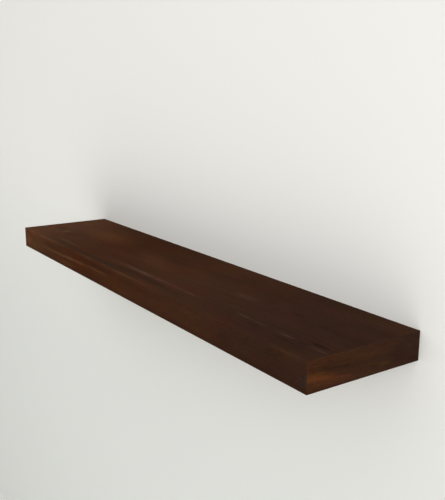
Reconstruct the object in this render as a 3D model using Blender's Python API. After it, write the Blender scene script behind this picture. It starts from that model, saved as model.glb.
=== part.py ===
"""A floating shelf: a hollow veneered box that slides over steel rods on a concealed wall rail.

Metres, +Z up. The wall is the plane Y = 0 and the shelf reaches out along -Y, with its length
along X. The origin is on the wall plane, at the middle of the shelf's length and height.
"""

import math
from itertools import product

import bmesh
import bpy
from mathutils import Vector

# Outer box
SHELF_LENGTH = 1.143
SHELF_DEPTH = 0.232
SHELF_HEIGHT = 0.050
PANEL_THICK = 0.006
WALL_GAP = 0.0005  # the panels' rear edges stand this far off the wall
MITRE_GAP = 0.0003  # between the 45 degree faces of two panels

# Softwood frame inside the box
BATTEN_WIDTH = 0.018
BLOCK_WIDTH = 0.060
GLUE_GAP = 0.0003

# Expanded paper core between the blocks
CELL_WIDTH = 0.038
CELL_WALL = 0.0005

# Steel rail on the wall
RAIL_THICK = 0.004
RAIL_END_CLEARANCE = 0.0255  # to the end panels
RAIL_EDGE_CLEARANCE = 0.003  # to the top and bottom panels
RAIL_FRONT_CLEARANCE = 0.0015  # to the rear batten

# Steel rods welded in the rail
ROD_COUNT = 4
ROD_RADIUS = 0.006
ROD_END_SETBACK = 0.150  # from the shelf's end to the outermost rod
ROD_TIP_SETBACK = 0.067  # from the shelf's front to a rod's tip
ROD_TIP_CHAMFER = 0.0015
ROD_SEAT_GAP = 0.0003
WELD_LEG = 0.0025
BORE_CLEARANCE = 0.0005  # round a rod, in the wood
BORE_END_CLEARANCE = 0.006

# Screws and plugs that hold the rail on the wall
SCREW_EDGE_SETBACK = 0.009  # below the rail's top edge
SCREW_END_SETBACK = 0.040  # from the rail's end to the outermost screw
SCREW_LENGTH = 0.050
SCREW_RADIUS = 0.0025
SCREW_HEAD_RADIUS = 0.0047
SCREW_POINT = 0.006
SCREW_SINK = 0.0002  # the head lies this far below the rail's face
SCREW_CLEARANCE = 0.0003
RECESS_SPAN = 0.0050
RECESS_SLOT = 0.0012
RECESS_DEPTH = 0.0022
RECESS_TAPER = 0.4  # the recess's width at its bottom, as a share of its width at the top
PLUG_WALL = 0.0012
PLUG_LENGTH = 0.040
PLUG_SINK = 0.003  # the plug's rim lies this far inside the wall
PLUG_SLOT_WIDTH = 0.0012
PLUG_COLLAR = 0.010  # unslotted length inside the rim
PLUG_BARBS = 4
PLUG_BARB_HEIGHT = 0.0006

# Screws under the shelf that clamp it on the outermost rods
LOCK_SETBACK = 0.0265  # in front of the rear batten
LOCK_RADIUS = 0.003
LOCK_SINK = 0.0027  # the screw's lower end lies this far inside the underside
LOCK_TIP_CHAMFER = 0.0012
LOCK_END_CHAMFER = 0.0006
LOCK_TIP_GAP = 0.0003
SOCKET_ACROSS_FLATS = 0.003
SOCKET_DEPTH = 0.004
INSERT_RADIUS = 0.0048
INSERT_BORE_SETBACK = 0.0053  # from the insert's upper end to the rod's bore
INSERT_THREAD_GAP = 0.0003
INSERT_HOLE_CLEARANCE = 0.0003
FLANGE_RADIUS = 0.0065
FLANGE_THICK = 0.0012
FLANGE_SINK = 0.0002  # the flange lies this far inside the bottom panel's face

# Facets round a circle
ROUND_SIDES = 24
SMALL_ROUND_SIDES = 16
PLUG_SIDES = 12
SOCKET_SIDES = 6
CUTTER_OVERRUN = 0.002  # a cutter runs past the face that it enters by this much

HALF_LENGTH = SHELF_LENGTH / 2
HALF_HEIGHT = SHELF_HEIGHT / 2
BOX_LOW = Vector((-HALF_LENGTH, -SHELF_DEPTH, -HALF_HEIGHT))
BOX_HIGH = Vector((HALF_LENGTH, -WALL_GAP, HALF_HEIGHT))

# The hollow in the box, less a glue line all round
INNER_X = HALF_LENGTH - PANEL_THICK - GLUE_GAP
INNER_Z = HALF_HEIGHT - PANEL_THICK - GLUE_GAP
INNER_FRONT = -(SHELF_DEPTH - PANEL_THICK - GLUE_GAP)
REAR_BATTEN_BACK = -(RAIL_THICK + RAIL_FRONT_CLEARANCE)
REAR_BATTEN_FRONT = REAR_BATTEN_BACK - BATTEN_WIDTH
FRONT_BATTEN_BACK = INNER_FRONT + BATTEN_WIDTH
CORE_BACK = REAR_BATTEN_FRONT - GLUE_GAP
CORE_FRONT = FRONT_BATTEN_BACK + GLUE_GAP

# The bracket
RAIL_HALF_LENGTH = HALF_LENGTH - PANEL_THICK - RAIL_END_CLEARANCE
RAIL_HALF_HEIGHT = HALF_HEIGHT - PANEL_THICK - RAIL_EDGE_CLEARANCE
ROD_REACH = SHELF_DEPTH - ROD_TIP_SETBACK
OUTER_ROD_X = HALF_LENGTH - ROD_END_SETBACK
ROD_X = [OUTER_ROD_X * (2 * i / (ROD_COUNT - 1) - 1) for i in range(ROD_COUNT)]
BORE_RADIUS = ROD_RADIUS + BORE_CLEARANCE
WELD_RADIUS = ROD_RADIUS + WELD_LEG
OUTER_SCREW_X = RAIL_HALF_LENGTH - SCREW_END_SETBACK
SCREW_X = [-OUTER_SCREW_X, *[(a + b) / 2 for a, b in zip(ROD_X, ROD_X[1:])], OUTER_SCREW_X]
SCREW_Z = RAIL_HALF_HEIGHT - SCREW_EDGE_SETBACK
SCREW_HOLE_RADIUS = SCREW_RADIUS + SCREW_CLEARANCE
PLUG_RADIUS = SCREW_HOLE_RADIUS + PLUG_WALL

# The lock screws and their inserts
LOCK_X = {"left": ROD_X[0], "right": ROD_X[-1]}
LOCK_Y = REAR_BATTEN_FRONT - LOCK_SETBACK
LOCK_TIP_Z = -(ROD_RADIUS + LOCK_TIP_GAP)
LOCK_LENGTH = HALF_HEIGHT - LOCK_SINK + LOCK_TIP_Z
FLANGE_Z = -HALF_HEIGHT + FLANGE_SINK
INSERT_LENGTH = -BORE_RADIUS - INSERT_BORE_SETBACK - FLANGE_Z

# A turned piece's local +Z points this way once it is placed
OUT_OF_WALL = (math.radians(90), 0, 0)
INTO_WALL = (math.radians(-90), 0, 0)
UPWARDS = (0, 0, 0)

SMOOTH_UNDER = math.radians(35)
MERGE_DISTANCE = 1e-6


def clear_scene():
    for obj in list(bpy.data.objects):
        bpy.data.objects.remove(obj)


def linear(channel):
    """One sRGB channel, 0 to 255, as the linear value that a shader takes."""
    c = channel / 255
    return c / 12.92 if c <= 0.04045 else ((c + 0.055) / 1.055) ** 2.4


def make_material(name, rgb, roughness, metallic=0.0):
    material = bpy.data.materials.new(name)
    material.use_nodes = True
    shader = material.node_tree.nodes["Principled BSDF"]
    shader.inputs["Base Color"].default_value = (*map(linear, rgb), 1)
    shader.inputs["Roughness"].default_value = roughness
    shader.inputs["Metallic"].default_value = metallic
    return material


def make_empty(name):
    empty = bpy.data.objects.new(name, None)
    bpy.context.collection.objects.link(empty)
    return empty


def add_object(name, bm, location=(0, 0, 0), rotation=(0, 0, 0), is_round=False):
    """Turns a bmesh into a placed object, with its faces pointing out and its round faces smooth."""
    bmesh.ops.recalc_face_normals(bm, faces=bm.faces)
    mesh = bpy.data.meshes.new(name)
    bm.to_mesh(mesh)
    bm.free()
    if is_round:
        mesh.shade_smooth()
        mesh.set_sharp_from_angle(angle=SMOOTH_UNDER)
    obj = bpy.data.objects.new(name, mesh)
    bpy.context.collection.objects.link(obj)
    obj.location = location
    obj.rotation_euler = rotation
    return obj


def finish_piece(obj, material, carrier):
    """Gives a piece its material, and hangs it and its cutters on its carrier."""
    obj.data.materials.append(material)
    obj.parent = carrier
    for modifier in obj.modifiers:
        modifier.object.parent = carrier


def box_between(bm, low, high):
    """Adds a box to the bmesh, from its lowest to its highest corner."""
    low, high = Vector(low), Vector(high)
    corners = bmesh.ops.create_cube(bm, size=1)["verts"]
    bmesh.ops.scale(bm, vec=high - low, verts=corners)
    bmesh.ops.translate(bm, vec=(low + high) / 2, verts=corners)


def block(name, low, high):
    """A plain block, with its origin at its middle."""
    centre = (Vector(low) + Vector(high)) / 2
    bm = bmesh.new()
    box_between(bm, Vector(low) - centre, Vector(high) - centre)
    return add_object(name, bm, centre)


def spin_profile(bm, profile, sides, ring=False):
    """Spins (radius, height) points about local Z. A ring's profile closes on itself."""
    points = [bm.verts.new((radius, 0, height)) for radius, height in profile]
    pairs = list(zip(points, points[1:]))
    if ring:
        pairs.append((points[-1], points[0]))
    edges = [bm.edges.new(pair) for pair in pairs]
    bmesh.ops.spin(
        bm,
        geom=points + edges,
        cent=(0, 0, 0),
        axis=(0, 0, 1),
        angle=math.tau,
        steps=sides,
        use_merge=True,
    )
    bmesh.ops.remove_doubles(bm, verts=bm.verts, dist=MERGE_DISTANCE)


def turned(name, profile, sides, location, rotation, ring=False):
    bm = bmesh.new()
    spin_profile(bm, profile, sides, ring)
    return add_object(name, bm, location, rotation, is_round=True)


def hole_cutter(name, steps, location, rotation, row=(0,), sides=ROUND_SIDES):
    """Round cutters in a row along X. Their (radius, height) steps run up local Z, with flat ends."""
    bm = bmesh.new()
    spin_profile(bm, [(0, steps[0][1]), *steps, (0, steps[-1][1])], sides)
    first = bm.verts[:] + bm.edges[:] + bm.faces[:]
    for x in row[1:]:
        copied = bmesh.ops.duplicate(bm, geom=first)["geom"]
        corners = [v for v in copied if isinstance(v, bmesh.types.BMVert)]
        bmesh.ops.translate(bm, vec=(x - row[0], 0, 0), verts=corners)
    bmesh.ops.translate(bm, vec=(row[0], 0, 0), verts=bm.verts)
    return add_object(name, bm, location, rotation, is_round=True)


def cross_cutter(name, span, slot, ends, location, rotation):
    """A cutter shaped like two crossed slots, between two ends that each have a local height and a size."""
    arm, half_slot = span / 2, slot / 2
    quarter = [(arm, half_slot), (half_slot, half_slot), (half_slot, arm)]
    outline = []
    for _ in range(4):
        outline += quarter
        quarter = [(-y, x) for x, y in quarter]
    bm = bmesh.new()
    rings = []
    for z, size in ends:
        rings.append([bm.verts.new((x * size, y * size, z)) for x, y in outline])
        bm.faces.new(rings[-1])
    low, high = rings
    for i in range(len(outline)):
        bm.faces.new((low[i - 1], low[i], high[i], high[i - 1]))
    return add_object(name, bm, location, rotation)


def cut(obj, cutter):
    """Cuts the helper out of the object, and keeps the helper out of the render."""
    cutter.hide_render = True
    cutter.display_type = "WIRE"
    modifier = obj.modifiers.new(cutter.name, "BOOLEAN")
    modifier.operation = "DIFFERENCE"
    modifier.solver = "EXACT"
    modifier.object = cutter


def mitred_panel(name, axis, at_high_side):
    """One wall of the box, its outer face on the box and its sides cut at 45 degrees to its neighbours.

    The rear edge, at the box's open back, is square.
    """
    setback = MITRE_GAP / math.sqrt(2)
    others = [k for k in range(3) if k != axis]
    bm = bmesh.new()
    for depth, *sides in product((0, PANEL_THICK), (False, True), (False, True)):
        corner = Vector()
        corner[axis] = BOX_HIGH[axis] - depth if at_high_side else BOX_LOW[axis] + depth
        for k, high in zip(others, sides):
            inset = 0 if k == 1 and high else depth + setback
            corner[k] = BOX_HIGH[k] - inset if high else BOX_LOW[k] + inset
        bm.verts.new(corner)
    bmesh.ops.convex_hull(bm, input=bm.verts)
    return add_object(name, bm)


def make_panels(veneer, carrier):
    """The five outer walls, with the holes for the two lock screws through the bottom one."""
    panels = {
        name: mitred_panel(name, axis, high)
        for name, axis, high in (
            ("top_panel", 2, True),
            ("bottom_panel", 2, False),
            ("front_panel", 1, False),
            ("left_end_panel", 0, False),
            ("right_end_panel", 0, True),
        )
    }
    seat_top = FLANGE_Z + FLANGE_THICK + INSERT_HOLE_CLEARANCE
    through = -INNER_Z + CUTTER_OVERRUN
    flange_hole = FLANGE_RADIUS + INSERT_HOLE_CLEARANCE
    body_hole = INSERT_RADIUS + INSERT_HOLE_CLEARANCE
    steps = [
        (flange_hole, -HALF_HEIGHT - CUTTER_OVERRUN),
        (flange_hole, seat_top),
        (body_hole, seat_top),
        (body_hole, through),
    ]
    row = list(LOCK_X.values())
    cut(panels["bottom_panel"], hole_cutter("cut_bottom", steps, (0, LOCK_Y, 0), UPWARDS, row))
    for panel in panels.values():
        finish_piece(panel, veneer, carrier)


def make_battens(softwood, carrier):
    """The softwood frame. The rear batten is bored for the rods, and relieved round their welds."""
    spans = {
        "front_batten": (
            (-INNER_X, INNER_FRONT, -INNER_Z),
            (INNER_X, FRONT_BATTEN_BACK, INNER_Z),
        ),
        "rear_batten": (
            (-INNER_X, REAR_BATTEN_FRONT, -INNER_Z),
            (INNER_X, REAR_BATTEN_BACK, INNER_Z),
        ),
        "left_batten": (
            (-INNER_X, CORE_FRONT, -INNER_Z),
            (-INNER_X + BATTEN_WIDTH, CORE_BACK, INNER_Z),
        ),
        "right_batten": (
            (INNER_X - BATTEN_WIDTH, CORE_FRONT, -INNER_Z),
            (INNER_X, CORE_BACK, INNER_Z),
        ),
    }
    battens = {name: block(name, *span) for name, span in spans.items()}
    weld_end = RAIL_THICK + ROD_SEAT_GAP + WELD_LEG
    relief = WELD_RADIUS + BORE_CLEARANCE
    steps = [
        (relief, -REAR_BATTEN_BACK - CUTTER_OVERRUN),
        (relief, weld_end),
        (BORE_RADIUS, weld_end + relief - BORE_RADIUS),
        (BORE_RADIUS, -REAR_BATTEN_FRONT + CUTTER_OVERRUN),
    ]
    cut(battens["rear_batten"], hole_cutter("cut_rear", steps, (0, 0, 0), OUT_OF_WALL, ROD_X))
    for batten in battens.values():
        finish_piece(batten, softwood, carrier)


def make_rod_blocks(softwood, carrier):
    """A bored block for each rod. The outermost two also take a lock insert from below."""
    insert_top = FLANGE_Z + INSERT_LENGTH + INSERT_HOLE_CLEARANCE
    lock_steps = [
        (INSERT_RADIUS + INSERT_HOLE_CLEARANCE, -INNER_Z - CUTTER_OVERRUN),
        (INSERT_RADIUS + INSERT_HOLE_CLEARANCE, insert_top),
        (LOCK_RADIUS + INSERT_THREAD_GAP, insert_top),
        (LOCK_RADIUS + INSERT_THREAD_GAP, 0),
    ]
    bore_steps = [
        (BORE_RADIUS, -CORE_BACK - CUTTER_OVERRUN),
        (BORE_RADIUS, ROD_REACH + BORE_END_CLEARANCE),
    ]
    for i, x in enumerate(ROD_X, 1):
        low = (x - BLOCK_WIDTH / 2, CORE_FRONT, -INNER_Z)
        high = (x + BLOCK_WIDTH / 2, CORE_BACK, INNER_Z)
        piece = block(f"rod_block_{i}", low, high)
        cut(piece, hole_cutter(f"cut_block_{i}", bore_steps, (x, 0, 0), OUT_OF_WALL))
        if x in LOCK_X.values():
            cut(piece, hole_cutter(f"cut_lock_{i}", lock_steps, (x, LOCK_Y, 0), UPWARDS))
        finish_piece(piece, softwood, carrier)


def hexagon(x, y, width, side):
    """The corners of a cell with a point at its front and back, about its middle."""
    corners = [(0, 1), (0.5, 0.5), (0.5, -0.5), (0, -1), (-0.5, -0.5), (-0.5, 0.5)]
    return [(x + u * width, y + v * side) for u, v in corners]


def honeycomb(name, low_x, high_x):
    """An expanded paper core that fills one bay. Its rows hold n and n - 1 cells by turns.

    The pack is stretched until a whole number of cells fills the bay, as the paper one is. A row
    starts 1.5 sides after the one before it, and the last one is 2 sides deep.
    """
    length, depth = high_x - low_x, CORE_BACK - CORE_FRONT
    columns = max(2, round(length / CELL_WIDTH))
    rows = max(2, round((depth * math.sqrt(3) / CELL_WIDTH - 0.5) / 1.5))
    width, side = length / columns, depth / (1.5 * rows + 0.5)
    open_width, open_side = width - CELL_WALL, side - CELL_WALL / math.sqrt(3)

    bm = bmesh.new()
    for row in range(rows):
        count = columns - row % 2
        y = (row - (rows - 1) / 2) * 1.5 * side
        for column in range(count):
            x = (column - (count - 1) / 2) * width
            wall = [bm.verts.new((*p, -INNER_Z)) for p in hexagon(x, y, width, side)]
            hole = [bm.verts.new((*p, -INNER_Z)) for p in hexagon(x, y, open_width, open_side)]
            for i in range(len(wall)):
                bm.faces.new((wall[i - 1], wall[i], hole[i], hole[i - 1]))
    bmesh.ops.remove_doubles(bm, verts=bm.verts, dist=MERGE_DISTANCE)
    raised = bmesh.ops.extrude_face_region(bm, geom=bm.faces)["geom"]
    top = [v for v in raised if isinstance(v, bmesh.types.BMVert)]
    bmesh.ops.translate(bm, vec=(0, 0, 2 * INNER_Z), verts=top)
    return add_object(name, bm, ((low_x + high_x) / 2, (CORE_FRONT + CORE_BACK) / 2, 0))


def make_cores(paper, carrier):
    """A paper core in each bay, between the end battens and the rod blocks."""
    end = INNER_X - BATTEN_WIDTH
    starts = [-end, *[x + BLOCK_WIDTH / 2 for x in ROD_X]]
    ends = [*[x - BLOCK_WIDTH / 2 for x in ROD_X], end]
    for i, (start, stop) in enumerate(zip(starts, ends), 1):
        core = honeycomb(f"honeycomb_core_{i}", start + GLUE_GAP, stop - GLUE_GAP)
        finish_piece(core, paper, carrier)


def make_wall_rail(steel, carrier):
    """The flat bar on the wall, bored for the rods and countersunk for the screws."""
    low = (-RAIL_HALF_LENGTH, -RAIL_THICK, -RAIL_HALF_HEIGHT)
    rail = block("wall_rail", low, (RAIL_HALF_LENGTH, 0, RAIL_HALF_HEIGHT))
    seat = ROD_RADIUS + ROD_SEAT_GAP
    rod_steps = [(seat, -CUTTER_OVERRUN), (seat, RAIL_THICK + CUTTER_OVERRUN)]
    cut(rail, hole_cutter("cut_rail_rods", rod_steps, (0, 0, 0), OUT_OF_WALL, ROD_X))
    mouth = SCREW_HEAD_RADIUS + SCREW_CLEARANCE
    mouth_start = RAIL_THICK - SCREW_SINK
    screw_steps = [
        (SCREW_HOLE_RADIUS, -CUTTER_OVERRUN),
        (SCREW_HOLE_RADIUS, mouth_start - (mouth - SCREW_HOLE_RADIUS)),
        (mouth, mouth_start),
        (mouth, RAIL_THICK + CUTTER_OVERRUN),
    ]
    at = (0, 0, SCREW_Z)
    cut(rail, hole_cutter("cut_rail_screws", screw_steps, at, OUT_OF_WALL, SCREW_X, SMALL_ROUND_SIDES))
    finish_piece(rail, steel, carrier)


def make_rods(steel, carrier):
    """The rods, each with its weld bead against the rail's front and a chamfered tip."""
    weld_start = RAIL_THICK + ROD_SEAT_GAP
    profile = [
        (0, ROD_SEAT_GAP),
        (ROD_RADIUS, ROD_SEAT_GAP),
        (ROD_RADIUS, weld_start),
        (WELD_RADIUS, weld_start),
        (ROD_RADIUS, weld_start + WELD_LEG),
        (ROD_RADIUS, ROD_REACH - ROD_TIP_CHAMFER),
        (ROD_RADIUS - ROD_TIP_CHAMFER, ROD_REACH),
        (0, ROD_REACH),
    ]
    for i, x in enumerate(ROD_X, 1):
        rod = turned(f"support_rod_{i}", profile, ROUND_SIDES, (x, 0, 0), OUT_OF_WALL)
        finish_piece(rod, steel, carrier)


def make_wall_screws(plated_steel, carrier):
    """Countersunk screws through the rail into the wall, each with a cross recess in its head."""
    cone = SCREW_HEAD_RADIUS - SCREW_RADIUS
    profile = [
        (0, 0),
        (SCREW_HEAD_RADIUS, 0),
        (SCREW_RADIUS, cone),
        (SCREW_RADIUS, SCREW_LENGTH - SCREW_POINT),
        (0, SCREW_LENGTH),
    ]
    growth = (1 - RECESS_TAPER) * CUTTER_OVERRUN / RECESS_DEPTH
    ends = [(-CUTTER_OVERRUN, 1 + growth), (RECESS_DEPTH, RECESS_TAPER)]
    for i, x in enumerate(SCREW_X, 1):
        at = (x, -RAIL_THICK + SCREW_SINK, SCREW_Z)
        screw = turned(f"wall_screw_{i}", profile, SMALL_ROUND_SIDES, at, INTO_WALL)
        recess = cross_cutter(f"cut_recess_{i}", RECESS_SPAN, RECESS_SLOT, ends, at, INTO_WALL)
        cut(screw, recess)
        finish_piece(screw, plated_steel, carrier)


def plug_profile():
    """The plug's wall. Past the collar its outside has barbs, whose steep sides face the rim."""
    outside = [(PLUG_RADIUS, 0)]
    pitch = (PLUG_LENGTH - PLUG_COLLAR) / PLUG_BARBS
    for i in range(PLUG_BARBS):
        start = PLUG_COLLAR + i * pitch
        outside += [(PLUG_RADIUS, start), (PLUG_RADIUS - PLUG_BARB_HEIGHT, start + pitch)]
    return [(SCREW_HOLE_RADIUS, 0), *outside, (SCREW_HOLE_RADIUS, PLUG_LENGTH)]


def make_wall_plugs(nylon, carrier):
    """Nylon plugs round the screws, inside the wall, slit into four legs past the collar."""
    profile = plug_profile()
    span = 2 * (PLUG_RADIUS + CUTTER_OVERRUN)
    ends = [(PLUG_COLLAR, 1), (PLUG_LENGTH + CUTTER_OVERRUN, 1)]
    for i, x in enumerate(SCREW_X, 1):
        at = (x, PLUG_SINK, SCREW_Z)
        plug = turned(f"wall_plug_{i}", profile, PLUG_SIDES, at, INTO_WALL, ring=True)
        cut(plug, cross_cutter(f"cut_plug_{i}", span, PLUG_SLOT_WIDTH, ends, at, INTO_WALL))
        finish_piece(plug, nylon, carrier)


def make_lock_inserts(brass, carrier):
    """Flanged threaded inserts, flush in the underside, that the lock screws turn in."""
    bore = LOCK_RADIUS + INSERT_THREAD_GAP
    profile = [
        (bore, 0),
        (FLANGE_RADIUS, 0),
        (FLANGE_RADIUS, FLANGE_THICK),
        (INSERT_RADIUS, FLANGE_THICK),
        (INSERT_RADIUS, INSERT_LENGTH),
        (bore, INSERT_LENGTH),
    ]
    for side, x in LOCK_X.items():
        at = (x, LOCK_Y, FLANGE_Z)
        insert = turned(f"lock_insert_{side}", profile, ROUND_SIDES, at, UPWARDS, ring=True)
        finish_piece(insert, brass, carrier)


def make_lock_screws(black_steel, carrier):
    """Socket set screws whose tips bear on the outermost rods from below."""
    profile = [
        (0, -LOCK_LENGTH),
        (LOCK_RADIUS - LOCK_END_CHAMFER, -LOCK_LENGTH),
        (LOCK_RADIUS, -LOCK_LENGTH + LOCK_END_CHAMFER),
        (LOCK_RADIUS, -LOCK_TIP_CHAMFER),
        (LOCK_RADIUS - LOCK_TIP_CHAMFER, 0),
        (0, 0),
    ]
    corner = SOCKET_ACROSS_FLATS / math.sqrt(3)
    socket = [
        (corner, -LOCK_LENGTH - CUTTER_OVERRUN),
        (corner, -LOCK_LENGTH + SOCKET_DEPTH),
    ]
    for side, x in LOCK_X.items():
        at = (x, LOCK_Y, LOCK_TIP_Z)
        screw = turned(f"lock_screw_{side}", profile, ROUND_SIDES, at, UPWARDS)
        cut(screw, hole_cutter(f"cut_socket_{side}", socket, at, UPWARDS, sides=SOCKET_SIDES))
        finish_piece(screw, black_steel, carrier)


def main():
    clear_scene()
    veneer = make_material("walnut_veneered_mdf", (74, 45, 29), 0.45)
    softwood = make_material("planed_pine", (201, 164, 116), 0.7)
    paper = make_material("kraft_paper", (176, 138, 96), 0.9)
    steel = make_material("zinc_plated_steel", (176, 180, 184), 0.35, 1.0)
    screw_steel = make_material("yellow_zinc_plated_steel", (196, 164, 98), 0.3, 1.0)
    nylon = make_material("grey_nylon", (150, 152, 154), 0.5)
    brass = make_material("brass", (190, 158, 90), 0.3, 1.0)
    black_steel = make_material("blackened_steel", (40, 40, 42), 0.45, 1.0)

    bracket = make_empty("bracket_carrier")
    shelf = make_empty("shelf_carrier")

    make_panels(veneer, shelf)
    make_battens(softwood, shelf)
    make_rod_blocks(softwood, shelf)
    make_cores(paper, shelf)
    make_lock_inserts(brass, shelf)
    make_lock_screws(black_steel, shelf)

    make_wall_rail(steel, bracket)
    make_rods(steel, bracket)
    make_wall_screws(screw_steel, bracket)
    make_wall_plugs(nylon, bracket)


main()
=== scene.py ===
# %% [markdown]
# A floating wall shelf
#
# This lesson dresses a plain CAD model of a long floating shelf: a hollow box of mitred, veneered panels that
# slides over steel rods on a rail that hides in its back. The CAD solids say where everything is and how it
# moves. Each cell below makes one finish, or one kind of piece that is finer than its solid. All sizes are
# metres: X runs along the shelf, Y into the wall and Z up.

# %% Load the fixed frame
import math
import random

import bmesh
import bpy
from mathutils import Matrix, Vector


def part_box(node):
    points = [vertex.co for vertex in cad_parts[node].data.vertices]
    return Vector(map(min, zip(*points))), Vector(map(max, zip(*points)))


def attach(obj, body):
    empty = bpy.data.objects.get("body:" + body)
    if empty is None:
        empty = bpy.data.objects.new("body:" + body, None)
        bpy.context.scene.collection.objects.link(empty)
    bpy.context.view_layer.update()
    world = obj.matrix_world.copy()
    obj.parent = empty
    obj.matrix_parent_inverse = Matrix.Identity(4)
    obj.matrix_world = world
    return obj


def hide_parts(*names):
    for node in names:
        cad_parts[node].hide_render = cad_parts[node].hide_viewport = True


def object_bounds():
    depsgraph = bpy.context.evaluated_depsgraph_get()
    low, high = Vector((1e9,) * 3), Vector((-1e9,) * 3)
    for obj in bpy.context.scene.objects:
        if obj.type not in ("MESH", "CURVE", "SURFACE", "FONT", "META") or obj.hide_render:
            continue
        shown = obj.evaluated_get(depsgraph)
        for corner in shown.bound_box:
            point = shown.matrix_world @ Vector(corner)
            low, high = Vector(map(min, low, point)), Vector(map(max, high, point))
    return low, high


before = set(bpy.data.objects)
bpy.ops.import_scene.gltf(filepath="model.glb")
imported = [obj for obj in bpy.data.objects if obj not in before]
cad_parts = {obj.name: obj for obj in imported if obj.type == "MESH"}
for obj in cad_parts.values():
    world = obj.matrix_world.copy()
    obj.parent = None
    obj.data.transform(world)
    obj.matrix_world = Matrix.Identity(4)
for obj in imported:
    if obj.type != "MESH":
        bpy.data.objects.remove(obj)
cad_bounds = [list(corner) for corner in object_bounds()]
print("CAD box", cad_bounds)

# %% [markdown]
# Helpers for colours and nodes
#
# Colours are picked as sRGB hex values, as on a paint card, but a shader works in linear light, so one
# function converts them. Shader and geometry trees are both built from nodes, and one function adds a node,
# sets it up and wires it: a value that is a node or a socket becomes a link, anything else a setting. A
# colour ramp also takes its stops that way. Every finish starts alike, with the place on the object that its
# patterns read, and ends alike, with relief and one surface.

# %% Helpers for colours and nodes
def linear(hex_colour):
    """An sRGB colour such as #5a3b28 as the linear RGBA that a shader takes."""
    channels = [int(hex_colour[i : i + 2], 16) / 255 for i in (1, 3, 5)]
    return (*(c / 12.92 if c <= 0.04045 else ((c + 0.055) / 1.055) ** 2.4 for c in channels), 1)


def usable(sockets, key):
    """The socket with this name or number, among those that the node's settings leave enabled."""
    in_use = [s for s in sockets if s.enabled]
    return in_use[key] if isinstance(key, int) else next(s for s in in_use if s.name == key)


def add(tree, kind, inputs=None, stops=(), **settings):
    """Adds a node of this kind, with its settings, its input values and links, and a ramp's stops."""
    node = tree.nodes.new(kind)
    for name, value in settings.items():
        setattr(node, name, value)
    for key, value in (inputs or {}).items():
        socket = usable(node.inputs, key)
        if isinstance(value, bpy.types.Node):
            value = usable(value.outputs, 0)
        if isinstance(value, bpy.types.NodeSocket):
            tree.links.new(value, socket)
        else:
            socket.default_value = value
    if stops:  # each a place from 0 to 1 and a colour or a grey; a new ramp has two
        first, *between, last = [(at, linear(c) if isinstance(c, str) else (c, c, c, 1)) for at, c in stops]
        for element, (at, colour) in zip(node.color_ramp.elements, (first, last)):
            element.position, element.color = at, colour
        for at, colour in between:
            node.color_ramp.elements.new(at).color = colour
    return node


def new_finish(name):
    """A new material, its empty tree, and the place on the object."""
    material = bpy.data.materials.new(name)
    material.use_nodes = True
    tree = material.node_tree
    tree.nodes.clear()
    return material, tree, add(tree, "ShaderNodeTexCoord").outputs["Object"]


def end_finish(tree, colour, rough, height, relief, fixed):
    """Ends the tree in one surface.

    rough says which pattern grades the roughness, and between what. relief is the bump's strength and its
    depth in metres, and fixed is what is the same all over.
    """
    rough = add(tree, "ShaderNodeMapRange", rough)
    bump = add(tree, "ShaderNodeBump", {"Height": height, "Strength": relief[0], "Distance": relief[1]})
    surface = {"Base Color": colour, "Roughness": rough, "Normal": bump, **fixed}
    add(tree, "ShaderNodeOutputMaterial", {"Surface": add(tree, "ShaderNodeBsdfPrincipled", surface)})


print("walnut brown in linear light", [round(c, 4) for c in linear("#422718")])

# %% [markdown]
# The camera
#
# The six visible corners of the box were matched with a pinhole camera, which gives its place, the three
# directions of its axes and its focal length. The picture is taken to be 445 x 500 pixels, so the longer side
# is the upright one, and that is the side that Blender's sensor width measures.

# %% Camera
CAMERA_PLACE = (1.2643, -0.8486, 0.3964)
CAMERA_RIGHT = Vector((0.56420, 0.82564, 0.00268))
CAMERA_AHEAD = Vector((-0.80399, 0.55014, -0.22574))
FOCAL_PIXELS = 710.56
LONG_SIDE_PIXELS = 500
SENSOR = 36  # mm
NEAREST_SEEN = 0.02

ahead = CAMERA_AHEAD.normalized()
across = (CAMERA_RIGHT - ahead * CAMERA_RIGHT.dot(ahead)).normalized()
turn = Matrix((across, across.cross(ahead), -ahead)).transposed()
camera = bpy.data.objects.new("camera", bpy.data.cameras.new("camera"))
bpy.context.scene.collection.objects.link(camera)
camera.matrix_world = Matrix.Translation(CAMERA_PLACE) @ turn.to_4x4()
camera.data.sensor_width = SENSOR
camera.data.lens = SENSOR * FOCAL_PIXELS / LONG_SIDE_PIXELS
camera.data.clip_start = NEAREST_SEEN
bpy.context.scene.camera = camera
bpy.context.scene.view_settings.view_transform = "Standard"
print("lens", round(camera.data.lens, 2), "mm")

# %% [markdown]
# Wall and floor
#
# The shelf needs its wall: without one it would float, with no shadow. Both the wall and the floor are plain
# matt paint, and the wall's colour is a touch darker towards the floor: painted shade. They are one-sided, like
# stage flats: a ray that comes from behind passes through them, so the bracket can be looked at from the back.
# There it would be in the dark, so the patch of wall right behind the box also lets light through to it,
# though the camera still sees paint there. The wall stands a hair behind the rail, so that the two don't lie
# in one plane.

# %% Flats
def flat_sheet(name, corners, material):
    """One face through four corners, which it shows anticlockwise to its front."""
    mesh = bpy.data.meshes.new(name)
    mesh.from_pydata(corners, [], [(0, 1, 2, 3)])
    mesh.materials.append(material)
    sheet = bpy.data.objects.new(name, mesh)
    bpy.context.scene.collection.objects.link(sheet)


# %% Paint
# The wall's paint darkens towards the floor: painted shade, graded between these heights
PAINTED_SHADE_HEIGHTS = (-0.60, 0.30)  # the heights between which the wall's tone changes
STIPPLE_WAVES = 350  # to a metre, so a roller's marks of 3 mm


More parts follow.
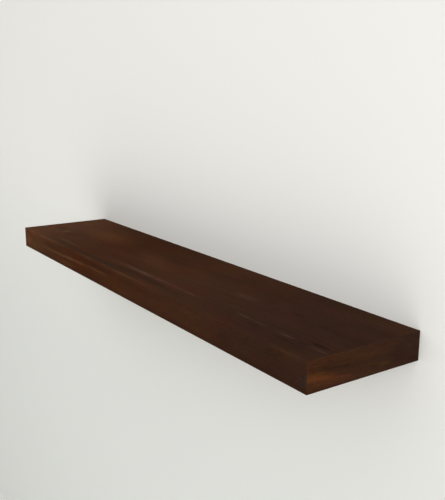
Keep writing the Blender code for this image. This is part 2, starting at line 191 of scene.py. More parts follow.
def matt_paint(name, low_tone, high_tone, window=(0, 0, 0)):
    """Emulsion paint on a one-sided flat: fine roller stipple, and a tone that is graded upwards, which on the
    wall is painted shade.

    Its window lets light through, but the camera still sees paint there. It reaches this far along X and Z.
    """
    material, tree, place = new_finish(name)
    stipple = add(tree, "ShaderNodeTexNoise", {"Vector": place, "Scale": STIPPLE_WAVES, "Detail": 3})
    bump = add(tree, "ShaderNodeBump", {"Height": stipple, "Strength": 0.05, "Distance": 0.0005})
    height = add(tree, "ShaderNodeSeparateXYZ", {"Vector": place}).outputs["Z"]
    height = {"Value": height, "From Min": PAINTED_SHADE_HEIGHTS[0], "From Max": PAINTED_SHADE_HEIGHTS[1]}
    height = add(tree, "ShaderNodeMapRange", height, interpolation_type="SMOOTHSTEP")
    tone = {"Factor": height, "A": linear(low_tone), "B": linear(high_tone)}
    tone = add(tree, "ShaderNodeMix", tone, data_type="RGBA")
    paint = add(tree, "ShaderNodeBsdfDiffuse", {"Color": tone, "Roughness": 0.5, "Normal": bump})
    clear = add(tree, "ShaderNodeBsdfTransparent")
    see_through = add(tree, "ShaderNodeNewGeometry").outputs["Backfacing"]
    if any(window):
        off = add(tree, "ShaderNodeVectorMath", {0: place}, operation="ABSOLUTE")
        off = add(tree, "ShaderNodeVectorMath", {0: window, 1: off}, operation="SUBTRACT")
        off = add(tree, "ShaderNodeSeparateXYZ", {"Vector": off})
        nearest = {0: off.outputs["X"], 1: off.outputs["Z"]}
        nearest = add(tree, "ShaderNodeMath", nearest, operation="MINIMUM")
        inside = add(tree, "ShaderNodeMath", {0: nearest, 1: 0}, operation="GREATER_THAN")
        seen = add(tree, "ShaderNodeLightPath").outputs["Is Camera Ray"]
        unseen = add(tree, "ShaderNodeMath", {0: inside, 1: seen}, operation="SUBTRACT", use_clamp=True)
        see_through = add(tree, "ShaderNodeMath", {0: see_through, 1: unseen}, operation="MAXIMUM")
    both = add(tree, "ShaderNodeMixShader", {0: see_through, 1: paint, 2: clear})
    add(tree, "ShaderNodeOutputMaterial", {"Surface": both})
    return material


# %% Stage
WALL_BEHIND = 0.0003
FLOOR_LEVEL = -1.5
WALL_TOP = 2.6
STAGE_REACH = 4.5

# The wall's lower tone is painted shade towards the floor
wall_paint = matt_paint("off_white_wall", "#e6e7e4", "#f2f1ee", (cad_bounds[1][0], 1, cad_bounds[1][2]))
floor_paint = matt_paint("off_white_floor", "#f1f1ee", "#f1f1ee")
far, back, low, top = STAGE_REACH, WALL_BEHIND, FLOOR_LEVEL, WALL_TOP
flat_sheet("wall", [(-far, back, low), (far, back, low), (far, back, top), (-far, back, top)], wall_paint)
flat_sheet("floor", [(-far, -far, low), (far, -far, low), (far, far, low), (-far, far, low)], floor_paint)
print("wall lit through", [round(2 * cad_bounds[1][k], 3) for k in (0, 2)], "m")

# %% [markdown]
# Light
#
# A plain studio: an even pale world does most of the work, so that the shadow round the shelf stays faint.
# One soft box the size of a window, to the right and a little above the shelf, brightens that side of the
# wall, and a weak one near the floor keeps the wall pale under the shelf, so that the shadow lies mostly
# above it. Together they light a surface at about strength 1, so that a colour renders about as it is
# written.

# %% World and lamps
WORLD_STRENGTH = 0.917
WORLD_TONE = "#f4f4f2"
LAMPS = {  # place, what it is aimed at, size in metres, watts and spread in degrees
    "window": ((2.8, -1.6, 0.9), (0.6, 0.0, 0.1), 1.6, 22.7, 180),
    "low_fill": ((0.5, -2.2, -1.1), (0.0, 0.0, -0.1), 1.6, 1.7, 100),
}

world = bpy.data.worlds.new("studio")
bpy.context.scene.world = world
world.use_nodes = True
world.node_tree.nodes.clear()
sky = {"Color": linear(WORLD_TONE), "Strength": WORLD_STRENGTH}
sky = add(world.node_tree, "ShaderNodeBackground", sky)
add(world.node_tree, "ShaderNodeOutputWorld", {"Surface": sky})
for name, (place, aim, size, watts, spread) in LAMPS.items():
    light = bpy.data.lights.new(name, "AREA")
    light.size = size
    light.energy = watts
    light.spread = math.radians(spread)
    lamp = bpy.data.objects.new(name, light)
    lamp.location = place
    lamp.rotation_euler = (Vector(aim) - Vector(place)).to_track_quat("-Z", "Y").to_euler()
    bpy.context.scene.collection.objects.link(lamp)
print("lamps", sorted(LAMPS))

# %% [markdown]
# Walnut veneer
#
# The box is faced with crown-cut American walnut, 0.6 mm thick, stained dark and rubbed with a matt oil. On
# the real thing several patterns lie over each other: a slow change of colour along the board, soft bands a
# few centimetres wide, growth rings 5 mm apart that wander along the grain, fibres finer than a millimetre,
# and open pores like short pencil dashes. Every layer is a noise stretched along the grain. The rings are the
# distance from the pith of the tree, which lies below the board, so the top shows broad figure in its middle
# and the front shows narrow stripes, as one log would give. An oiled surface hardly shines, even where it is
# seen at a low angle.

# %% Patterns of wood
NOISE_SPAN = {"From Min": 0.3, "From Max": 0.7}  # nearly all values of a noise lie between these


def streaks(tree, place, squeeze, detail, rough=0.5):
    """Noise with this many waves to a metre along each axis, so that few of them make a long streak."""
    squeezed = add(tree, "ShaderNodeMapping", {"Vector": place, "Scale": squeeze})
    noise = {"Vector": squeezed, "Scale": 1, "Detail": detail, "Roughness": rough}
    return add(tree, "ShaderNodeTexNoise", noise)


def wander(tree, place, turned_across, squeeze, reach, detail, rough):
    """The place with its grain along X, and how it drifts to the side, by up to half of the reach."""
    turn = (0, 0, math.radians(-90) if turned_across else 0)
    grain = add(tree, "ShaderNodeMapping", {"Vector": place, "Rotation": turn})
    drift = {0: streaks(tree, grain, squeeze, detail, rough).outputs["Color"], 1: (0.5, 0.5, 0.5)}
    drift = add(tree, "ShaderNodeVectorMath", drift, operation="SUBTRACT")
    drift = add(tree, "ShaderNodeVectorMath", {0: drift, 1: (0, reach, reach)}, operation="MULTIPLY")
    return add(tree, "ShaderNodeVectorMath", {0: grain, 1: drift}, operation="ADD"), drift


def ring_age(tree, grain, pith, spacing):
    """How far through a year's growth each point lies, from 0 to 1. The rings are round the pith."""
    off = add(tree, "ShaderNodeVectorMath", {0: grain, 1: pith}, operation="SUBTRACT")
    off = add(tree, "ShaderNodeVectorMath", {0: off, 1: (0, 1, 1)}, operation="MULTIPLY")
    off = add(tree, "ShaderNodeVectorMath", {0: off}, operation="LENGTH").outputs["Value"]
    off = add(tree, "ShaderNodeMath", {0: off, 1: spacing}, operation="DIVIDE")
    return add(tree, "ShaderNodeMath", {0: off}, operation="FRACT")


def layered(tree, colour, layers):
    """Lays one layer after another over a colour: what it is, how far it covers, and how it mixes."""
    for layer, cover, blend in layers:
        mixed = {"Factor": cover, "A": colour, "B": layer}
        colour = add(tree, "ShaderNodeMix", mixed, data_type="RGBA", blend_type=blend)
    return colour


print("nearly all of a noise lies between", *NOISE_SPAN.values())

# %% Sizes and tones of the walnut
RING_SPACING = 0.0052
PITH_PLACE = (0, -0.10, -0.16)
FIBRE_ACROSS = 0.0009  # real fibres and pores are under 0.2 mm across, which this picture could never show
PORE_ACROSS = 0.0007
PORE_LENGTH = 0.014
PORE_DEPTH = 0.00012
HALF_LENGTH, DEPTH = cad_bounds[1][0], -cad_bounds[0][1]
ALL = 9.0  # a figure with this reach goes right through the board that way

# Waves to a metre, along the grain and twice across it
DRIFT_WAVES = (3, 9, 9)  # the grain wanders once in about 30 cm
BAND_WAVES = (2.6, 24, 24)  # bands 4 cm wide
CLOUD_WAVES = (11, 30, 30)  # clouds 9 cm long and 3 cm wide
GAP_WAVES = (26, 140, 140)  # gaps in the figure, 4 cm long and 7 mm wide
FIBRE_WAVES = (30, 1 / FIBRE_ACROSS, 1 / FIBRE_ACROSS)
# The rubbed and painted-highlight tone of the arris comes in patches of 7 cm
WEAR_AND_HIGHLIGHT_WAVES = (14, 14, 14)  # hands rub in patches of 7 cm

# Between which values of its noise a layer starts and ends
BAND_SPAN = {"From Min": 0.25, "From Max": 0.75}
GAP_SPAN = {"From Min": 0.38, "From Max": 0.6}
PORE_SPAN = {"From Min": 0.12, "From Max": 0.36, "To Min": 0.75, "To Max": 0}  # it fades from its middle
WEAR_AND_HIGHLIGHT_SPAN = {"From Min": 0.36, "From Max": 0.6, "To Min": 0.1, "To Max": 0.6}

# How much each layer changes the colour
BAND_SHADE = 0.12
FIBRE_SHADE = 0.20
CLOUD_TINT = (0.42, 0.42, 0.55)  # how far the clouds can push red, green and blue
EARLY_GROWTH, LATE_GROWTH = (1.03, 1.03, 1.03, 1), (0.94, 0.93, 0.92, 1)
GROWTH = [(0, 0.35), (0.12, 0), (0.62, 0.3), (0.93, 1), (1, 0.35)]  # how late the growth is through a year
PORE_TONE = "#1f0f07"
# The arris's pale tone: stain rubbed off by handling, and a painted highlight
WEAR_AND_HIGHLIGHT_TONE = "#6b4a33"
OIL_GLOSS = 0.006  # specular level: an oiled, unfilled surface scatters nearly all of the light

# The colours along the long boards, from the left end to the right, and along the ends, from front to back.
# The long boards darken towards the right end: partly the wood's own tone, partly painted light from the left.
BOARD_TONES = [(0.05, "#53321d"), (0.15, "#452915"), (0.30, "#40210d"), (0.60, "#412617"), (0.92, "#352118")]
# The ends take darker tones than the long boards: painted shade that offsets the window lamp's light on the
# right end
END_TONES = [(0.0, "#3d2416"), (0.55, "#392319"), (0.85, "#342219")]

# How pale the arris is along the same boards: partly rubbed by hands, partly a painted highlight
BOARD_WEAR_AND_HIGHLIGHT = [
    (0.02, 1.0), (0.16, 1.0), (0.24, 0.40), (0.55, 0.55),
    (0.66, 0.05), (0.92, 0.05), (0.95, 0.3), (0.99, 0.15),
]
END_WEAR_AND_HIGHLIGHT = [(0.0, 0.15), (0.12, 0.05), (1.0, 0.04)]

# The tints of walnut's figure, from pale sapwood to dark late growth, with inky flecks, and a grey that paints
# a reflection
TINTS = {
    "pale": "#5e4336", "sapwood": "#65452c", "brown": "#54341f", "amber": "#63391a", "copper": "#663422",
    "olive": "#4e3b16", "dark": "#2b1b12", "inky": "#1c110b", "reflection_grey": "#2e2921",
}
print("rings", RING_SPACING * 1000, "mm apart, pores", PORE_LENGTH * 1000, "mm long")


# %% Figure layers
def figure_layers(tree, place, drift, broken, plane, figures):
    """A layer for each figure: an ellipse with soft edges, which bends and breaks up with the grain."""
    bent = add(tree, "ShaderNodeVectorMath", {0: drift, 1: (0, 0.5, 0.5)}, operation="MULTIPLY")
    bent = add(tree, "ShaderNodeVectorMath", {0: place, 1: bent}, operation="ADD")
    first, second = "XYZ".index(plane[0]), "XYZ".index(plane[1])
    layers = []
    for a, b, reach_a, reach_b, slant, tint, strength, breaks in figures:
        centre, reach, slope = [0, 0, 0], [ALL, ALL, ALL], [0, 0, 0]
        centre[first], centre[second], reach[first], reach[second] = a, b, reach_a, reach_b
        slope[3 - first - second] = slant
        own = {"Vector": bent, "Location": centre, "Rotation": slope, "Scale": reach}
        own = add(tree, "ShaderNodeMapping", own, vector_type="TEXTURE")
        off = add(tree, "ShaderNodeVectorMath", {0: own}, operation="LENGTH").outputs["Value"]
        mask = {"Value": off, "From Min": 1, "From Max": 0.1, "To Max": strength}
        mask = add(tree, "ShaderNodeMapRange", mask, interpolation_type="SMOOTHSTEP")
        gaps = add(tree, "ShaderNodeMath", {0: broken, 1: breaks, 2: 1 - breaks}, operation="MULTIPLY_ADD")
        mask = add(tree, "ShaderNodeMath", {0: mask, 1: gaps}, operation="MULTIPLY")
        layers.append((linear(TINTS[tint]), mask, "MIX"))
    return layers


print("walnut takes", len(TINTS), "tints for its figure:", *TINTS)

# %% Walnut veneer
def walnut(name, plane, tones, wear_and_highlight_stops, figures):
    """Matt oiled walnut veneer, whose grain and tones run along the first axis of the plane it lies in."""
    material, tree, place = new_finish("oiled_walnut_veneer_" + name)
    turned_across = plane[0] == "Y"
    grain, drift = wander(tree, place, turned_across, DRIFT_WAVES, 0.022, 3, 0.45)

    # A slow change of tone along the board, which on the long boards is partly painted light from the left,
    # bands of colour, and clouds that tint it
    along = add(tree, "ShaderNodeSeparateXYZ", {"Vector": place}).outputs[plane[0]]
    ends = (-DEPTH, 0) if turned_across else (-HALF_LENGTH, HALF_LENGTH)
    along = add(tree, "ShaderNodeMapRange", {"Value": along, "From Min": ends[0], "From Max": ends[1]})
    tone = add(tree, "ShaderNodeValToRGB", {"Fac": along}, stops=tones)
    band = {"Value": streaks(tree, grain, BAND_WAVES, 4, 0.55), **BAND_SPAN}
    band = add(tree, "ShaderNodeMapRange", {**band, "To Min": 1 - BAND_SHADE, "To Max": 1 + BAND_SHADE})
    cloud = streaks(tree, grain, CLOUD_WAVES, 2).outputs["Color"]
    cloud = {0: cloud, 1: CLOUD_TINT, 2: [1 - 0.5 * t for t in CLOUD_TINT]}
    cloud = add(tree, "ShaderNodeVectorMath", cloud, operation="MULTIPLY_ADD")

    # Growth rings, and what breaks up the figure along the grain
    age = ring_age(tree, grain, PITH_PLACE, RING_SPACING)
    late = add(tree, "ShaderNodeValToRGB", {"Fac": age}, stops=GROWTH)
    ring = add(tree, "ShaderNodeMix", {"Factor": late, "A": EARLY_GROWTH, "B": LATE_GROWTH}, data_type="RGBA")
    broken = add(tree, "ShaderNodeMapRange", {"Value": streaks(tree, grain, GAP_WAVES, 2), **GAP_SPAN})

    # Fibres and pores
    fibre = streaks(tree, grain, FIBRE_WAVES, 4, 0.65)
    lines = {"Value": fibre, **NOISE_SPAN, "To Min": 1 - FIBRE_SHADE, "To Max": 1 + FIBRE_SHADE}
    lines = add(tree, "ShaderNodeMapRange", lines)
    pore = {"Vector": grain, "Scale": (1 / PORE_LENGTH, 1 / PORE_ACROSS, 1 / PORE_ACROSS)}
    pore = {"Vector": add(tree, "ShaderNodeMapping", pore), "Scale": 1, "Randomness": 1}
    pore = add(tree, "ShaderNodeTexVoronoi", pore)
    pore = add(tree, "ShaderNodeMapRange", {"Value": pore, **PORE_SPAN})

    # Handling rubs the stain off the arris in places, and the same pale tone paints a highlight along it
    wear_and_highlight_mask = {0: add(tree, "ShaderNodeAttribute", attribute_name="wear").outputs["Fac"]}
    wear_and_highlight_mask[1] = add(tree, "ShaderNodeValToRGB", {"Fac": along}, stops=wear_and_highlight_stops)
    wear_and_highlight_mask = add(tree, "ShaderNodeMath", wear_and_highlight_mask, operation="MULTIPLY")
    patchy = {"Value": streaks(tree, place, WEAR_AND_HIGHLIGHT_WAVES, 4, 0.6), **WEAR_AND_HIGHLIGHT_SPAN}
    patchy = add(tree, "ShaderNodeMapRange", patchy)
    wear_and_highlight_mask = add(tree, "ShaderNodeMath", {0: patchy, 1: wear_and_highlight_mask}, operation="MULTIPLY")

    colour = layered(tree, tone, [
        *((layer, 1, "MULTIPLY") for layer in (band, cloud, ring)),
        *figure_layers(tree, place, drift, broken, plane, figures),
        (lines, 1, "MULTIPLY"),
        (linear(PORE_TONE), pore, "MIX"),
        (linear(WEAR_AND_HIGHLIGHT_TONE), wear_and_highlight_mask, "MIX"),
    ])
    rough = {"Value": fibre, **NOISE_SPAN, "To Min": 0.52, "To Max": 0.66}
    height = add(tree, "ShaderNodeMath", {0: fibre, 1: pore}, operation="SUBTRACT")
    end_finish(tree, colour, rough, height, (0.35, PORE_DEPTH), {"Specular IOR Level": OIL_GLOSS})
    return material


# %% [markdown]
# The figure of each face
#
# A veneer is picked by hand for its figure, so the few pale streaks, dark streaks and warm patches of the
# faces that show most are placed one by one. Among them are painted shade along the front's lower edge and a
# painted reflection at its right end. Each is an ellipse about a centre, with soft edges, broken up by the
# grain. The underside and the left end come from other leaves of veneer, so their figure is strewn by chance.

# %% Figures
# Each figure: its centre and its reach along the two axes of its plane, its slant, its tint, its strength,
# and how far the grain breaks it up
TOP_FIGURES = [
    # Along the front: a long pale streak in two parts, dark bands before it and a thin dark line behind it
    (0.010, -0.1930, 0.190, 0.0095, 0, "pale", 0.62, 0.55),
    (0.190, -0.1920, 0.060, 0.0040, 0, "pale", 0.58, 0.40),
    (0.050, -0.2110, 0.220, 0.0115, 0, "dark", 0.70, 0.30),
    (-0.140, -0.2220, 0.260, 0.0150, 0, "dark", 0.56, 0.15),
    (-0.030, -0.1810, 0.070, 0.0035, 0, "dark", 0.52, 0.50),
    # Near the right end: a row of pale dashes between dark flecks
    (0.361, -0.1850, 0.036, 0.0046, 0, "pale", 0.40, 0.30),
    (0.404, -0.1872, 0.030, 0.0040, 0, "pale", 0.34, 0.30),
    (0.468, -0.1882, 0.038, 0.0050, 0, "pale", 0.46, 0.60),
    (0.546, -0.1893, 0.030, 0.0048, 0, "pale", 0.55, 0.50),
    (0.537, -0.1765, 0.030, 0.0058, 0, "inky", 0.80, 0.30),
    (0.405, -0.1980, 0.030, 0.0060, 0, "inky", 0.42, 0.30),
    (0.480, -0.2020, 0.045, 0.0060, 0, "inky", 0.42, 0.30),
    (0.515, -0.2070, 0.045, 0.0140, 0, "dark", 0.42, 0.40),
    (0.330, -0.1960, 0.030, 0.0050, 0, "dark", 0.45, 0.30),
    (0.300, -0.1600, 0.050, 0.0050, 0, "dark", 0.32, 0.50),
    # Soft blotches, and a paler strip along the wall
    (0.150, -0.0020, 0.320, 0.0420, 0, "brown", 0.30, 0.20),
    (0.540, -0.0100, 0.160, 0.0550, 0, "brown", 0.36, 0.20),
    (-0.007, -0.0900, 0.070, 0.0160, 0, "dark", 0.42, 0.30),
    (0.120, -0.0750, 0.110, 0.0200, 0, "dark", 0.28, 0.30),
    (-0.057, -0.1220, 0.130, 0.0350, -0.20, "brown", 0.45, 0.20),
    (-0.345, -0.0950, 0.160, 0.0550, 0, "amber", 0.52, 0.10),
    (-0.150, -0.1500, 0.120, 0.0250, 0, "copper", 0.12, 0.30),
    (0.272, -0.1190, 0.050, 0.0150, 0, "pale", 0.22, 0.30),
    (0.407, -0.1080, 0.024, 0.0090, 0, "inky", 0.36, 0.20),
    (0.330, -0.1050, 0.018, 0.0210, 0, "dark", 0.32, 0.20),
    (0.200, -0.0540, 0.045, 0.0130, 0, "dark", 0.32, 0.30),
    (0.450, -0.0500, 0.090, 0.0300, 0, "brown", 0.14, 0.30),
    # The mottled left end
    (-0.507, -0.1550, 0.034, 0.0160, 0, "dark", 0.46, 0.30),
    (-0.430, -0.1690, 0.020, 0.0100, 0, "dark", 0.56, 0.20),
    (-0.462, -0.1600, 0.024, 0.0180, 0, "sapwood", 0.45, 0.30),
    (-0.350, -0.2050, 0.120, 0.0060, 0, "sapwood", 0.44, 0.50),
]
FRONT_FIGURES = [
    # Darker along the lower edge: painted shade under the light from above
    (0, -0.0250, ALL, 0.0160, 0, "dark", 0.55, 0.20),
    # Dark streaks along the upper half, and a long pale one under them
    (-0.114, 0.0120, 0.130, 0.0060, 0, "dark", 0.48, 0.30),
    (0.050, 0.0085, 0.090, 0.0050, 0, "dark", 0.52, 0.30),
    (-0.390, 0.0110, 0.080, 0.0045, 0, "dark", 0.40, 0.40),
    (-0.300, 0.0012, 0.240, 0.0052, -0.014, "sapwood", 0.65, 0.50),
    (-0.110, 0.0040, 0.060, 0.0040, 0, "sapwood", 0.40, 0.30),
    # Patches along the lower half, weathered ones at the left end, and a painted reflection in grey at the
    # right end
    (-0.130, -0.0085, 0.110, 0.0045, 0, "dark", 0.38, 0.40),
    (-0.300, -0.0140, 0.110, 0.0060, 0, "amber", 0.42, 0.40),
    (-0.504, -0.0125, 0.022, 0.0110, 0, "olive", 0.65, 0.10),
    (-0.545, -0.0020, 0.026, 0.0200, 0, "sapwood", 0.60, 0.20),
    (0.000, -0.0160, 0.080, 0.0060, 0, "brown", 0.35, 0.30),
    (0.365, -0.0050, 0.040, 0.0160, 0, "dark", 0.38, 0.20),
    (0.250, 0.0120, 0.090, 0.0070, 0, "brown", 0.22, 0.30),
    # A painted reflection: grey at the right end of the front
    (0.567, -0.0060, 0.024, 0.0170, 0, "reflection_grey", 0.60, 0.10),
]
END_FIGURES = [
    # Slanting stripes near the front
    (-0.2150, -0.0035, 0.0520, 0.0110, -0.10, "amber", 0.60, 0.30),
    (-0.1900, -0.0090, 0.0600, 0.0050, -0.12, "copper", 0.45, 0.30),
    (-0.1780, 0.0050, 0.0600, 0.0055, -0.12, "dark", 0.60, 0.30),
    (-0.1780, -0.0160, 0.0700, 0.0070, -0.06, "brown", 0.42, 0.30),
    # An olive fleck, a dark patch and a brown one nearer the wall
    (-0.0755, -0.0113, 0.0230, 0.0052, -0.05, "olive", 0.40, 0.20),
    (-0.0500, -0.0020, 0.0330, 0.0160, 0, "dark", 0.42, 0.20),
    (-0.1150, 0.0120, 0.0500, 0.0070, -0.05, "brown", 0.22, 0.30),
]


def strewn(seed, number, longest, low, high):
    """Figures at chance places between two corners of a face."""
    chance = random.Random(seed)
    figures = []
    for _ in range(number):
        a, b = chance.uniform(low[0], high[0]), chance.uniform(low[1], high[1])
        long = longest * chance.uniform(0.3, 1)
        tint = chance.choice(("pale", "brown", "amber", "copper", "dark"))
        strength = chance.uniform(0.3, 0.55)
        figures.append((a, b, long, long * chance.uniform(0.05, 0.16), 0, tint, strength, 0.3))
    return figures


UNDERSIDE_FIGURES = strewn(5, 18, 0.16, (-0.5, -0.22), (0.5, -0.01))
LEFT_FIGURES = strewn(8, 6, 0.07, (-0.21, -0.02), (-0.02, 0.02))
veneers = {
    "top_panel": walnut("top", "XY", BOARD_TONES, BOARD_WEAR_AND_HIGHLIGHT, TOP_FIGURES),
    "bottom_panel": walnut("underside", "XY", BOARD_TONES, BOARD_WEAR_AND_HIGHLIGHT, UNDERSIDE_FIGURES),
    "front_panel": walnut("front", "XZ", BOARD_TONES, BOARD_WEAR_AND_HIGHLIGHT, FRONT_FIGURES),
    "left_end_panel": walnut("left_end", "YZ", END_TONES, END_WEAR_AND_HIGHLIGHT, LEFT_FIGURES),
    "right_end_panel": walnut("right_end", "YZ", END_TONES, END_WEAR_AND_HIGHLIGHT, END_FIGURES),
}
print("veneers", {node: len(veneer.node_tree.nodes) for node, veneer in veneers.items()})

# %% [markdown]
# Fibreboard, nylon and paper
#
# Under the veneer the panels are 5.4 mm of MDF, medium density fibreboard: wood fibres and resin, pressed and
# sanded, one even tan with fine darker fibres and no grain. It shows at the panels' rear edges, in the mitres
# and in the bored holes. Nylon wall plugs are moulded in grey, and the core is bare kraft paper. All three
# are matt and have one mottle, so one function makes them.

# %% Fibreboard, nylon and paper
def matt_finish(name, dark, light, size, squeeze, roughness, gloss, depth):
    """A matt stuff with one mottle of this size in metres, squeezed as its fibres or its flow lie."""
    material, tree, place = new_finish(name)
    broad = streaks(tree, place, [0.12 * k / size for k in squeeze], 2)
    fine = streaks(tree, place, [k / size for k in squeeze], 5, 0.7)
    both = add(tree, "ShaderNodeMath", {0: broad, 1: fine}, operation="ADD")
    both = add(tree, "ShaderNodeMapRange", {"Value": both, "From Min": 0.75, "From Max": 1.25})
    colour = {"Factor": both, "A": linear(dark), "B": linear(light)}
    colour = add(tree, "ShaderNodeMix", colour, data_type="RGBA")
    rough = {"Value": fine, **NOISE_SPAN, "To Min": roughness[0], "To Max": roughness[1]}
    end_finish(tree, colour, rough, fine, (0.4, depth), {"Specular IOR Level": gloss})
    return material


MATT_STUFFS = {  # darker and lighter tone, size of the mottle, squeeze, roughness, specular level and relief
    "sanded_fibreboard": ("#7d6143", "#a98c66", 0.0012, (1, 1, 1), (0.80, 0.95), 0.2, 0.00015),
    "moulded_grey_nylon": ("#8b8d90", "#a3a5a7", 0.0009, (1, 1, 1), (0.42, 0.55), 0.5, 0.00003),
    "bare_kraft_paper": ("#9a7650", "#bd9768", 0.0018, (1, 1, 0.35), (0.84, 0.96), 0.2, 0.00008),
}
fibreboard, grey_nylon, kraft = (matt_finish(name, *looks) for name, looks in MATT_STUFFS.items())
print("matt stuffs", list(MATT_STUFFS))

# %% [markdown]
# Helpers for pieces
#
# A piece starts as a bmesh or as a turned profile. What it goes through next, such as drilled holes, a thread
# or a row of copies, is a stack of modifiers. At the end the stack is turned into one plain mesh: creases are
# marked, faces are turned outwards, and nothing live is left on the piece.

# %% Helpers for pieces
MERGED_UNDER = 2e-6  # metres
CREASE = math.radians(32)


def new_piece(name, bm, *materials):
    """The bmesh as an object at the origin."""
    bmesh.ops.remove_doubles(bm, verts=bm.verts, dist=MERGED_UNDER)
    mesh = bpy.data.meshes.new(name)
    bm.to_mesh(mesh)
    bm.free()
    for material in materials:
        mesh.materials.append(material)
    piece = bpy.data.objects.new(name, mesh)
    bpy.context.scene.collection.objects.link(piece)
    return piece


def settle(piece):
    """Turns the piece and its modifiers into one plain mesh, creased and facing outwards."""
    evaluated = piece.evaluated_get(bpy.context.evaluated_depsgraph_get())
    mesh = bpy.data.meshes.new_from_object(evaluated)
    piece.modifiers.clear()
    piece.data = mesh
    bm = bmesh.new()
    bm.from_mesh(mesh)
    bmesh.ops.remove_doubles(bm, verts=bm.verts, dist=MERGED_UNDER)
    bmesh.ops.recalc_face_normals(bm, faces=bm.faces)
    loose = sum(not edge.is_manifold for edge in bm.edges)
    bm.to_mesh(mesh)
    bm.free()
    mesh.name = piece.name
    if mesh.materials[0] is None:  # a tree adds its finish after the empty slot of a bare mesh
        mesh.materials.pop(index=0)
    mesh.shade_smooth()
    mesh.set_sharp_from_angle(angle=CREASE)
    finishes = [material.name for material in mesh.materials]
    print(piece.name, len(mesh.polygons), "faces,", loose, "open edges,", finishes)


def hand_on(piece, body, slot, *nodes):
    """Settles the piece and lets it ride on its body in place of these CAD nodes."""
    settle(piece)
    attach(piece, body)
    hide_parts(*nodes)


print("creases above", round(math.degrees(CREASE)), "degrees")

# %% [markdown]
# Panels of the box
#
# The box is folded from one veneered sheet: V-grooves are cut from behind, the walls fold up at 45 degree
# mitres, and the arris is sanded until it no longer cuts the hand. So each panel is a stack of rectangles,
# from its outer face inwards: a quarter of the arris's round, the veneer's thickness, and the fibreboard down
# to the inner face, with its sides drawn in at 45 degrees. Next to its neighbour only a hairline is left. The
# rear edges stay square, because they face the wall. An attribute marks the arris, where the finish wears and
# where a highlight is painted.

# %% Panels
PANEL_THICK = 0.006
VENEER_THICK = 0.0006
ARRIS_RADIUS = 0.0006
HAIRLINE = 0.00004  # from a panel's side to the mitre plane
ARC_STEPS = 4
# Each rim: how far inside the arris it lies, and how much of the rubbed tone and painted highlight it takes
WEAR_AND_HIGHLIGHT_RIMS = ((0.0060, 0.0), (0.0022, 0.4), (0.0006, 0.85))  # how far inside the arris, and how worn
top_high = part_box("top_panel")[1]
BOX_LOW = Vector((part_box("left_end_panel")[0].x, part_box("front_panel")[0].y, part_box("bottom_panel")[0].z))
BOX_HIGH = Vector((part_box("right_end_panel")[1].x, top_high.y, top_high.z))


def panel_loops():
    """From the face inwards: how far each loop lies inside the box's side, how deep it is, and how much rubbed
    tone and painted highlight it takes.
    """
    loops = [(ARRIS_RADIUS + margin, 0, wear) for margin, wear in WEAR_AND_HIGHLIGHT_RIMS]
    last = math.radians(45) - math.asin(HAIRLINE / (ARRIS_RADIUS * math.sqrt(2)))
    for step in range(ARC_STEPS + 1):
        angle = last * step / ARC_STEPS
        inset, depth = ARRIS_RADIUS * (1 - math.sin(angle)), ARRIS_RADIUS * (1 - math.cos(angle))
        loops.append((inset, depth, 1))
    return loops + [(d + HAIRLINE, d, 0) for d in (VENEER_THICK, PANEL_THICK)]


def make_panel(node, axis, high_side, veneer):
    """One wall of the box, with its outer face on the box."""
    others = [k for k in range(3) if k != axis]
    bm = bmesh.new()
    wear_and_highlight_mask = bm.verts.layers.float.new("wear")
    rear_ease = ARRIS_RADIUS * (1 - math.cos(math.radians(45)))  # as deep as the round is at the mitre
    rings = []
    for inset, depth, wear in panel_loops():
        ring = []
        for sides in ((False, False), (True, False), (True, True), (False, True)):
            corner = Vector()
            corner[axis] = BOX_HIGH[axis] - depth if high_side else BOX_LOW[axis] + depth
            for k, high in zip(others, sides):
                # A square rear edge: only the rims of wear and painted highlight on the face lie inside it
                is_rear = k == 1 and high  # a square edge: only the worn rims on the face lie inside it
                rear_inset = max(rear_ease - depth, 0) + max(inset - ARRIS_RADIUS, 0) * (depth == 0)
                from_side = rear_inset if is_rear else inset
                corner[k] = BOX_HIGH[k] - from_side if high else BOX_LOW[k] + from_side
            vertex = bm.verts.new(corner)
            vertex[wear_and_highlight_mask] = wear
            ring.append(vertex)
        rings.append((depth, ring))
    bm.faces.new(rings[0][1])
    for (_, outer), (depth, inner) in zip(rings, rings[1:]):
        for i in range(4):
            side = bm.faces.new((outer[i - 1], outer[i], inner[i], inner[i - 1]))
            side.material_index = depth > VENEER_THICK
    bm.faces.new(rings[-1][1]).material_index = 1
    bmesh.ops.recalc_face_normals(bm, faces=bm.faces)
    return new_piece(node + "_veneered", bm, veneer, fibreboard)


SIDES = {  # the axis that a panel faces along, and whether it is on the high side
    "top_panel": (2, True), "bottom_panel": (2, False), "front_panel": (1, False),
    "left_end_panel": (0, False), "right_end_panel": (0, True),
}
panels = {node: make_panel(node, *side, veneers[node]) for node, side in SIDES.items()}
print("box", [round(v, 4) for v in (*BOX_LOW, *BOX_HIGH)])

# %% [markdown]
# Geometry trees for the hardware
#
# Screws, threads and bored holes repeat, so geometry nodes make them. Each tree has named inputs for its
# sizes. A modifier keeps a value under the socket's identifier, so a small function looks that up by name.
# The tree "row" sets a piece at every point of a mesh of stations. "drilled" cuts a tool out at every station
# and marks the faces that it leaves. "threaded" winds a thread: a flat grid is rolled round the axis and
# sheared by one pitch, so that its rows follow the helix, four rows to a pitch.

